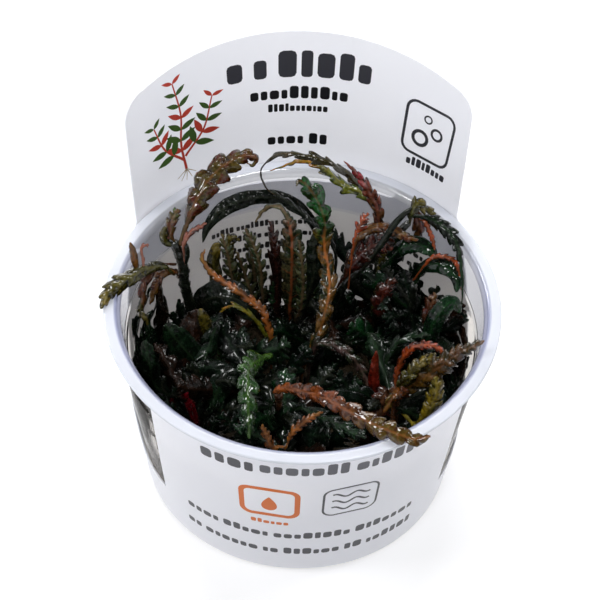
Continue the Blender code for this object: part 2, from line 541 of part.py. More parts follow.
def make_sheet(group):
    """Die-cut sheet: a flat filled outline, creased at even angles and bent round the cup."""
    drawing = bpy.data.curves.new("sheet_drawing", "CURVE")
    drawing.dimensions = "2D"
    drawing.fill_mode = "BOTH"
    drawing.extrude = SHEET_THICKNESS / 2
    for outline in (sheet_outline(), slot_outline()):
        line = drawing.splines.new("POLY")
        line.points.add(len(outline) - 1)
        for point, (angle, height) in zip(line.points, outline):
            point.co = (angle, height, 0.0, 1.0)
        line.use_cyclic_u = True
    flat = bpy.data.objects.new("sheet_drawing", drawing)
    group.objects.link(flat)
    bpy.context.view_layer.update()
    mesh = bpy.data.meshes.new_from_object(flat.evaluated_get(bpy.context.evaluated_depsgraph_get()))
    bpy.data.objects.remove(flat)

    shape = bmesh.new()
    shape.from_mesh(mesh)
    bmesh.ops.remove_doubles(shape, verts=shape.verts, dist=0.0001)
    crease = SEAM_ANGLE + BEND_STEP
    while crease < 360.0 + SEAM_ANGLE:
        everything = shape.verts[:] + shape.edges[:] + shape.faces[:]
        bmesh.ops.bisect_plane(
            shape, geom=everything, dist=FLAT_TOLERANCE,
            plane_co=(crease, 0.0, 0.0), plane_no=(1.0, 0.0, 0.0),
        )
        crease += BEND_STEP
    flat_edges = [
        edge for edge in shape.edges
        if abs(edge.verts[0].co.x - edge.verts[1].co.x) > FLAT_TOLERANCE
        and all(abs(face.normal.z) > 0.9 for face in edge.link_faces)
    ]
    bmesh.ops.dissolve_edges(shape, edges=flat_edges, use_verts=False)
    in_line = [corner for corner in shape.verts if len(corner.link_edges) == 2]
    bmesh.ops.dissolve_verts(shape, verts=in_line)
    bmesh.ops.triangulate(shape, faces=shape.faces, ngon_method="EAR_CLIP")
    for corner in shape.verts:
        angle, height, level = corner.co
        if angle > 180.0 + SEAM_ANGLE:
            angle -= 360.0
        corner.co = bend_sheet(angle, height, SHEET_THICKNESS / 2 - level)
    sheet_mesh = finish_mesh("printed_sleeve", shape)
    sleeve = add_object("printed_sleeve", sheet_mesh, group, material("sheet", COLOURS["sheet"], 0.35))
    sleeve.rotation_euler.z = math.radians(SHEET_TURN)
    return sleeve


def stem_tube(plantlet, group):
    """Round tube along a stem's route, welded shut at both ends."""
    route = [Vector(place) * MM for place in plantlet["route"]]
    route[0].z = STEM_FOOT * MM
    curve = bpy.data.curves.new(plantlet["name"], "CURVE")
    curve.dimensions = "3D"
    curve.bevel_depth = plantlet["radius"] * MM
    curve.bevel_resolution = 1
    curve.use_fill_caps = True
    line = curve.splines.new("POLY")
    rings = RINGS_PER_SPAN * (len(route) - 1)
    line.points.add(rings)
    for number, point in enumerate(line.points):
        point.co = (*smooth_point(route, number / rings), 1.0)
        point.radius = 1.0 - STEM_TAPER * number / rings
    tube = bpy.data.objects.new("stem_tube", curve)
    group.objects.link(tube)
    bpy.context.view_layer.update()
    mesh = bpy.data.meshes.new_from_object(tube.evaluated_get(bpy.context.evaluated_depsgraph_get()))
    bpy.data.objects.remove(tube)
    shape = bmesh.new()
    shape.from_mesh(mesh)
    bmesh.ops.remove_doubles(shape, verts=shape.verts, dist=0.00001)
    return shape, route


def axis_at_height(route, height):
    """Place on a stem's axis at a height in metres."""
    places = [smooth_point(route, step / 100) for step in range(101)]
    return min(places, key=lambda place: abs(place.z - height))


def grow_from_stem(shape, target, places, widths, thicknesses):
    """Draw the stem's side face that is nearest the target out along the places.

    Each place has a width and a thickness.
    """
    quads = [face for face in shape.faces if len(face.verts) == 4 and not face.tag]
    face = min(quads, key=lambda quad: (quad.calc_center_median() - target).length)
    middle = face.calc_center_median()
    across = (places[-1] - middle).cross(Vector((0, 0, 1))).normalized()
    by_height = sorted(face.verts, key=lambda corner: corner.co.z)
    places_in_section = {}
    for pair, rise in ((by_height[:2], -0.5), (by_height[2:], 0.5)):
        left, right = sorted(pair, key=lambda corner: corner.co.dot(across))
        places_in_section[left] = (-0.5, rise)
        places_in_section[right] = (0.5, rise)
    signs = [places_in_section[corner] for corner in face.verts]
    track = [middle] + places
    for number, (width, thickness) in enumerate(zip(widths, thicknesses), start=1):
        face = bmesh.ops.extrude_discrete_faces(shape, faces=[face])["faces"][0]
        ahead = track[min(number + 1, len(track) - 1)]
        lift = across.cross(ahead - track[number - 1]).normalized()
        for corner, (side, rise) in zip(face.verts, signs):
            corner.co = track[number] + across * (side * width) + lift * (rise * thickness)
        face.tag = True


def low_leaf_tip(start, turn, reach):
    """Tip of a low leaf that climbs away from the stem and stops short of the cup's wall."""
    outward = Vector((math.sin(turn), -math.cos(turn), LOW_LEAF_CLIMB))
    while True:
        tip = start + outward * reach * MM
        if math.hypot(tip.x, tip.y) < (inner_wall_radius(tip.z / MM) - LOW_LEAF_WALL_GAP) * MM:
            return tip
        reach *= LOW_LEAF_SHRINK


def make_plantlet(plantlet, group):
    """Stem with its side shoots and its small low leaves grown from it."""
    shape, route = stem_tube(plantlet, group)
    for face in shape.faces:
        face.tag = False
    shoot_sizes = [thickness * MM for thickness in SHOOT_THICKNESSES]
    for height, shoot in plantlet["shoots"]:
        start = axis_at_height(route, height * MM)
        places = [Vector(place) * MM for place in shoot]
        target = start + (places[0] - start).normalized() * MM
        grow_from_stem(shape, target, places, shoot_sizes, shoot_sizes)
    growth = plantlet["low_leaves"]
    shares, widths, thicknesses = zip(*LOW_LEAF_SECTIONS)
    widths = [width * MM for width in widths]
    thicknesses = [thickness * MM for thickness in thicknesses]
    arch = Vector((0.0, 0.0, LOW_LEAF_ARCH * MM))
    for number in range(growth["count"]):
        start = axis_at_height(route, (LOW_LEAF_START + number * LOW_LEAF_SPACING) * MM)
        turn = math.radians(growth["first_turn"] + number * LOW_LEAF_TURN)
        tip = low_leaf_tip(start, turn, growth["reach"])
        target = start + Vector((math.sin(turn), -math.cos(turn), 0.0)) * MM
        places = [start.lerp(tip, share) + arch * math.sin(math.pi * share) for share in shares]
        grow_from_stem(shape, target, places, widths, thicknesses)
    bmesh.ops.triangulate(shape, faces=shape.faces)
    finish = material(plantlet["name"] + "_stem", COLOURS[plantlet["colour"]], 0.25)
    return add_object(plantlet["name"], finish_mesh(plantlet["name"], shape), group, finish)


def blade_width(share):
    """Half width of a blade along its midrib, as a share of its greatest half width."""
    if share < STALK_END:
        return STALK_WIDTH
    along_blade = (share - STALK_END) / (1.0 - STALK_END)
    return max(math.sin(math.pi * along_blade ** 0.8) ** 0.55, TIP_WIDTH)


def leaf_section(leaf, route, share, reach, forward):
    """Four corners across a blade: left edge, upper midrib, right edge and lower midrib."""
    middle = smooth_point(route, share)
    way = smooth_direction(route, share)
    if "across" in leaf:
        hint = Vector(leaf["across"])
        across = (hint - way * hint.dot(way)).normalized()
    else:
        across = way.cross(TO_VIEWER).normalized()
    upward = across.cross(way)
    half_width = leaf["width"] / 2 * MM * blade_width(share) * reach
    thickness = LEAF_THICKNESS * MM * (1.0 - LEAF_THINNING * share)
    edge_shift = way * forward - upward * (leaf.get("arch", PLAIN_ARCH) * half_width)
    return [
        middle + across * half_width + edge_shift,
        middle + upward * thickness / 2,
        middle - across * half_width + edge_shift,
        middle - upward * thickness / 2,
    ]


def make_leaf(leaf, group):
    """Lobed blade: a loft through sections that are wide at the lobes and narrow between them."""
    route = [Vector(place) * MM for place in leaf["route"]]
    length = sum((second - first).length for first, second in zip(route, route[1:]))
    lobes = leaf["lobes"]
    step = LOBES_SPAN / lobes
    sections = [leaf_section(leaf, route, 0.0, 1.0, 0.0)]
    for number in range(lobes):
        start = LOBES_START + number * step
        sections.append(leaf_section(leaf, route, start, NOTCH_REACH, 0.0))
        sections.append(leaf_section(leaf, route, start + step / 2, 1.0, LOBE_SWEEP * step * length))
    tip = leaf_section(leaf, route, 1.0, TIP_REACH, 0.0)
    shape = bmesh.new()
    rings = [[shape.verts.new(corner) for corner in section] for section in sections + [tip]]
    for ring, following in zip(rings, rings[1:]):
        for side in range(4):
            other = (side + 1) % 4
            shape.faces.new((ring[side], ring[other], following[other], following[side]))
    shape.faces.new(rings[0])
    shape.faces.new(rings[-1])
    bmesh.ops.triangulate(shape, faces=shape.faces)
    finish = material(leaf["name"] + "_blade", COLOURS[leaf["colour"]], 0.2)
    return add_object(leaf["name"], finish_mesh(leaf["name"], shape), group, finish)


def main():
    """Build the whole cup."""
    clear_scene()
    parts = new_collection("tissue_culture_cup")
    cutters = new_collection("cutters")
    make_cup(parts)
    make_gel(parts, cutters)
    make_sheet(parts)
    for plantlet in PLANTLETS:
        make_plantlet(plantlet, parts)
    for leaf in LEAVES:
        make_leaf(leaf, parts)


main()
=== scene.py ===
# Looks of a clear culture cup with aquarium plantlets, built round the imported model.
# Lengths are written in millimetres and turned into metres by MM.
# The origin is the middle of the cup's underside, +Z is up, and the cup's front looks along -Y.

import math

import bmesh
import bpy
import numpy as np
from mathutils import Matrix, Vector
from mathutils.geometry import delaunay_2d_cdt


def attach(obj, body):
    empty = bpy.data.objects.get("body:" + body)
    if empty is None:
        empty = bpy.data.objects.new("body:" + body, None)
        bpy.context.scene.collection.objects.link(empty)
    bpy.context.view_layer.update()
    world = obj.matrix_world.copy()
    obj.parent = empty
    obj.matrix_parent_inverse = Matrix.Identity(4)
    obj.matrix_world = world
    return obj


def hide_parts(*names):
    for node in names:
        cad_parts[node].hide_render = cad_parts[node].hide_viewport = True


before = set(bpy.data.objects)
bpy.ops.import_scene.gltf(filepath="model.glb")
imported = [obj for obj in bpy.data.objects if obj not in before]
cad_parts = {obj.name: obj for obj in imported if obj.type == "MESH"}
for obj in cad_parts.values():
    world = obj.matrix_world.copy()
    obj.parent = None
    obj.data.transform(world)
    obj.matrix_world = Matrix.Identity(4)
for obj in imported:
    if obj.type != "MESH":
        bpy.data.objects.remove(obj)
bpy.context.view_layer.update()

MM = 0.001

# Camera: its place, how far it looks down, its roll, its lens and its sensor's width.
CAMERA_PLACE = (-0.69, -493.15, 631.61)
CAMERA_ELEVATION = 49.2
CAMERA_ROLL = 2.33
CAMERA_LENS = 181.2
CAMERA_SENSOR = 36.0

# Lamps: name, place in metres, size in metres and brightness. All look at one place, also in metres.
LAMPS = [
    ("lamp_left", (-0.45, -0.15, 0.62), 0.17, 24.0),
    ("lamp_right", (0.45, 0.1, 0.62), 0.13, 24.0),
    ("lamp_back_left", (-0.3, 0.4, 0.55), 0.12, 24.0),
    ("lamp_top", (0.1, 0.2, 0.8), 0.14, 24.0),
    ("lamp_front", (-0.15, -0.55, 0.9), 0.12, 24.0),
    ("lamp_behind", (0.0, 0.62, 0.34), 0.4, 5.5),
]
LAMP_AIM = (0.0, 0.0, 0.04)
# Half the floor's width in metres.
FLOOR_REACH = 4.0

# Cup, close to the solid: its corners are finer and its wall is 0.2 to 0.3 mm wider.
FLOOR_THICKNESS = 1.2
WALL_FOOT_RADIUS = 38.8
LEDGE_HEIGHT = 46.0
WALL_TOP_RADIUS = 45.7
WALL_THICKNESS = 1.1
LEDGE_WIDTH = 0.7
MOUTH_RADIUS = 45.0
COLLAR_THICKNESS = 0.9
COLLAR_LEAN = 0.8
COLLAR_STEP = 0.3
MILKY_COLLAR = 1.1
FLANGE_RADIUS = 49.9
FLANGE_THICKNESS = 0.9
CUP_HEIGHT = 58.3
TURN_STEPS = 144
GEL_FOOT = 1.5
GEL_TOP = 9.0
GEL_CREEP = 0.6
GEL_CORNER = 1.5
GAP = 0.3

# Linear colours of the milky plastic: painted shade inside the front of the mouth and on its lip, painted
# light on the mouth's rear, and the flange's own colour.
PAINTED_SHADE_MOUTH_COLOUR = (0.22, 0.23, 0.34, 1.0)
PAINTED_SHADE_LIP_COLOUR = (0.48, 0.51, 0.70, 1.0)
PAINTED_LIGHT_REAR_COLOUR = (0.66, 0.67, 0.70, 1.0)
FLANGE_COLOUR = (0.85, 0.875, 0.95, 1.0)

# Wrapped sheet: a flat outline of angles and heights, bent round the cup.
# Its sides are up to 0.5 mm nearer the cup than in the solid.
SHEET_THICKNESS = 0.4
SHEET_FOOT = 0.9
SHEET_TOP = 56.9
SHEET_TURN = 4.5
FRONT_RADIUS = 39.4
FRONT_FLARE = 0.154
BACK_RADIUS = 39.7
BACK_FLARE = 0.192
FLARE_CHANGE = (78.0, 124.0)
PANEL_ANGLE_TOP = 54.0
PANEL_ANGLE_FOOT = 57.0
PANEL_CORNER = 2.0
BAND_TOP = 14.6
BAND_FLAT_END = 66.0
TAG_ANGLE = 54.4
TAG_ANGLE_HIGH = 50.9
TAG_NECK = 58.0
TAG_SHOULDER = 86.0
TAG_CORNER = 93.2
TAG_TOP = 97.4
TAG_CORNER_ANGLE = 42.5
RISE_POWER = 1.6
SLOT_ANGLE = 33.0
SLOT_FOOT = 51.4
SLOT_TOP = 57.6
SEAM_ANGLE = 80.0
SEAM_GAP = 0.4
SHEET_STEP = 1.8
SHEET_GRID = 3.5

# Print: finishes of the sheet (name, colour as seen, cloudiness, light that comes through) and their numbers.
PRINT_FINISHES = [
    ("print_black", (24, 24, 28), 0.2, 0.0),
    ("print_grey", (56, 56, 63), 0.1, 0.0),
    ("print_pale_grey", (80, 80, 88), 0.1, 0.0),
    ("print_orange", (200, 96, 2), 0.1, 0.0),
    ("sheet_white", (232, 233, 243), 0.03, 0.6),
    ("print_green", (72, 104, 44), 0.35, 0.0),
    ("print_red", (206, 70, 54), 0.2, 0.0),
    ("print_root", (170, 150, 120), 0.2, 0.0),
]
BLACK, GREY, PALE_GREY, ORANGE, WHITE, GREEN, RED, ROOT = range(8)
# Blocks that stand for letters: their widths and heights, and the gaps after a letter and a word.
LETTER_WIDTHS = (0.62, 0.5, 0.7, 0.44, 0.66, 0.56, 0.5, 0.72, 0.4, 0.6)
LETTER_HEIGHTS = (1.0, 0.7, 0.7, 1.0, 0.7, 0.7, 0.92, 0.7, 0.7, 1.0, 0.7)
LETTER_GAP = 0.3
WORD_GAP = 0.75
GAP_SHARE = 0.6
# Signs: angle and height of their middles, and the rounding of their frames.
DROP_SIGN = (-12.6, 34.5)
WAVE_SIGN = (13.6, 35.0)
RING_SIGN = (141.1, 75.9)
SIGN_ROUNDING = 3.0
DRAWN_STEMS = [
    [(0, 0), (-0.6, 8), (0.4, 17), (-0.8, 27)],
    [(-0.3, 3), (-5.5, 9), (-7.8, 17)],
    [(0.2, 4), (6.2, 10), (9.2, 19)],
]
# Small print: angle of the block's middle, width and the word lengths in each row.
SMALL_PRINT_TOP = 38.5
SMALL_PRINT_PITCH = 3.6
SMALL_PRINT_BLOCKS = [
    (188.0, 32.0, ((5, 9, 3, 6), (3, 7, 4, 8), (8, 3, 6, 4), (4, 6, 9, 3),
                   (7, 5, 4, 5), (3, 8, 3, 6), (6, 4, 8))),
    (144.0, 17.0, ((3, 6), (7, 3), (4, 6), (6, 4), (8, 2), (5, 4))),
]

# Leaf blades.
LEAF_SEED = 100
LEAF_THICKNESS = 0.6
STALK_THICKNESS = 1.0
LOBES_START = 0.08
LOBES_SPAN = 0.88
STALK_END = 0.1
STALK_WIDTH = 0.16
TIP_WIDTH = 0.12
ROOT_LENGTH = 0.8
LEAF_TO_WALL = 0.6
ROW_SPACING = 0.36
COLUMN_SPACING = 0.32
RIPPLE_WAVES = 7
USUAL_ARCH = 0.15
TO_VIEWER = np.array((0.0, -0.65, 0.76))


def rgb(red, green, blue):
    """Linear colour from red, green and blue as seen, each from 0 to 255."""
    seen = np.array((red, green, blue)) / 255.0
    linear = np.where(seen <= 0.04045, seen / 12.92, ((seen + 0.055) / 1.055) ** 2.4)
    return (*linear, 1.0)


# Leaf colours as seen: at the foot, in the middle, at the tip, on the veins and in patches.
PALETTES = {
    "bronze": ((62, 58, 22), (84, 70, 24), (30, 96, 26), (142, 98, 60), (86, 26, 18)),
    "golden": ((76, 50, 16), (104, 70, 24), (84, 64, 18), (150, 92, 40), (72, 26, 14)),
    "golden green": ((88, 60, 22), (114, 78, 24), (16, 84, 32), (190, 110, 52), (14, 42, 18)),
    "black green": ((9, 12, 9), (18, 23, 16), (32, 38, 28), (52, 54, 42), (11, 24, 14)),
    "curl": ((54, 48, 16), (38, 38, 16), (12, 18, 12), (72, 62, 28), (56, 38, 14)),
    "grey green": ((50, 52, 32), (78, 80, 50), (92, 92, 60), (150, 112, 84), (36, 58, 30)),
    "grey rib": ((56, 48, 28), (78, 74, 48), (98, 74, 58), (170, 84, 44), (36, 54, 30)),
    "maroon": ((34, 16, 12), (44, 18, 14), (58, 28, 18), (70, 34, 26), (26, 14, 11)),
    "red brown": ((38, 13, 11), (64, 19, 14), (88, 34, 19), (108, 52, 36), (30, 24, 12)),
    "yellow": ((60, 66, 16), (118, 122, 24), (200, 96, 30), (156, 146, 48), (62, 80, 17)),
    "yellow olive": ((108, 96, 24), (142, 120, 28), (100, 86, 24), (166, 150, 58), (62, 60, 16)),
    "ember": ((156, 98, 30), (150, 78, 34), (94, 84, 26), (200, 124, 68), (60, 32, 14)),
    "fire": ((92, 34, 14), (166, 62, 24), (150, 52, 22), (196, 100, 50), (60, 24, 12)),
    "orange brown": ((160, 80, 24), (124, 60, 24), (84, 70, 22), (170, 98, 50), (54, 26, 13)),
    "pink": ((78, 66, 24), (104, 66, 34), (196, 52, 78), (160, 92, 72), (74, 30, 22)),
    "rose": ((88, 52, 40), (146, 84, 68), (128, 54, 46), (176, 118, 98), (74, 28, 24)),
    "red": ((60, 10, 8), (100, 20, 12), (130, 40, 20), (124, 44, 28), (38, 10, 8)),
    "two greens": ((70, 110, 30), (34, 72, 26), (14, 42, 17), (84, 118, 48), (20, 46, 16)),
    "deep green": ((9, 26, 13), (12, 42, 20), (18, 60, 27), (38, 74, 38), (9, 18, 11)),
    "dark green": ((9, 18, 11), (17, 34, 20), (28, 52, 30), (44, 66, 40), (11, 16, 9)),
    "shadow green": ((8, 12, 9), (11, 23, 15), (16, 35, 22), (30, 48, 30), (8, 10, 7)),
    "shadow brown": ((17, 11, 7), (31, 17, 11), (44, 26, 16), (56, 34, 23), (14, 12, 7)),
    "olive": ((28, 44, 18), (84, 76, 22), (128, 108, 40), (108, 102, 42), (44, 40, 14)),
    "brown": ((40, 25, 15), (78, 44, 25), (98, 66, 28), (132, 86, 56), (80, 26, 18)),
    "purple brown": ((42, 30, 25), (66, 46, 44), (52, 44, 28), (118, 90, 84), (28, 42, 22)),
    "rim brown": ((116, 82, 26), (98, 62, 26), (64, 44, 36), (136, 92, 60), (40, 42, 18)),
}
STEM_COLOURS = {
    "black green": ((10, 13, 10), (26, 32, 22)),
    "dark green": ((14, 28, 14), (34, 52, 26)),
    "olive": ((50, 46, 18), (96, 88, 34)),
    "brown": ((48, 28, 18), (92, 54, 30)),
    "red": ((70, 5, 13), (132, 13, 30)),
}
# How strongly the veins show, where it isn't the usual share, and the blade whose midrib shows in its middle.
VEIN_SHARE = 0.28
STRONG_VEINS = {"golden green": 0.7, "grey rib": 0.5, "bronze": 0.3, "rose": 0.45}
MIDRIB_PALETTE = "golden green"
# Where the middle and tip colours stand along a blade, and how far patches shift them.
COLOUR_PLACES = {"golden green": (0.6, 0.7, 0.06), "bronze": (0.6, 0.86, 0.1),
                 "orange brown": (0.4, 0.74, 0.12)}
USUAL_PLACES = (0.48, 0.9, 0.22)

# Blade forms: how far the notches reach in, the gap between lobes, how blunt the lobes are, how far
# they point ahead, the small teeth, the blisters between veins, the folds along the blade, the waves of
# the edge, how the lobes curl, how the rib stands up and the twist in degrees.
LOBED = {"notch": 0.38, "gap": 0.12, "square": 0.7, "sweep": 0.5, "teeth": 0.03, "blister": 0.26,
         "fold": 0.12, "wave": 0.30, "curl": 0.8, "rib": 0.12, "twist": 12}
WRINKLED = {"notch": 0.55, "gap": 0.08, "square": 0.65, "sweep": 0.4, "teeth": 0.03, "blister": 0.5,
            "fold": 0.28, "wave": 0.55, "curl": 0.9, "rib": 0.08, "twist": 15}
TOOTHED = {"notch": 0.55, "gap": 0.4, "square": 0.9, "sweep": 0.40, "teeth": 0.0, "blister": 0.15,
           "fold": 0.12, "wave": 0.2, "curl": 0.4, "rib": 0.12, "twist": 10}
SMOOTH = {"notch": 0.92, "gap": 0.0, "square": 1.0, "sweep": 0.05, "teeth": 0.0, "blister": 0.08,
          "fold": 0.08, "wave": 0.35, "curl": 0.2, "rib": 0.15, "twist": 15}
FINGERED = {"notch": 0.2, "gap": 0.35, "square": 0.5, "sweep": 0.45, "teeth": 0.0, "blister": 0.2,
            "fold": 0.10, "wave": 0.4, "curl": 1.1, "rib": 0.12, "twist": 20}


def leaf(form, palette, width, lobes, route, **more):
    """Values of a leaf: its form, what differs from it, and the midrib's route from base to tip."""
    return {"swell": 1.0, "arch": USUAL_ARCH, **form,
            "palette": palette, "width": width, "lobes": lobes, "route": route, **more}


def named_leaf(name, form, palette, slot, width, lobes, route, **more):
    """Values of a leaf that stands in place of a solid of its own."""
    return {"name": name, "slot": slot, **leaf(form, palette, width, lobes, route, **more)}


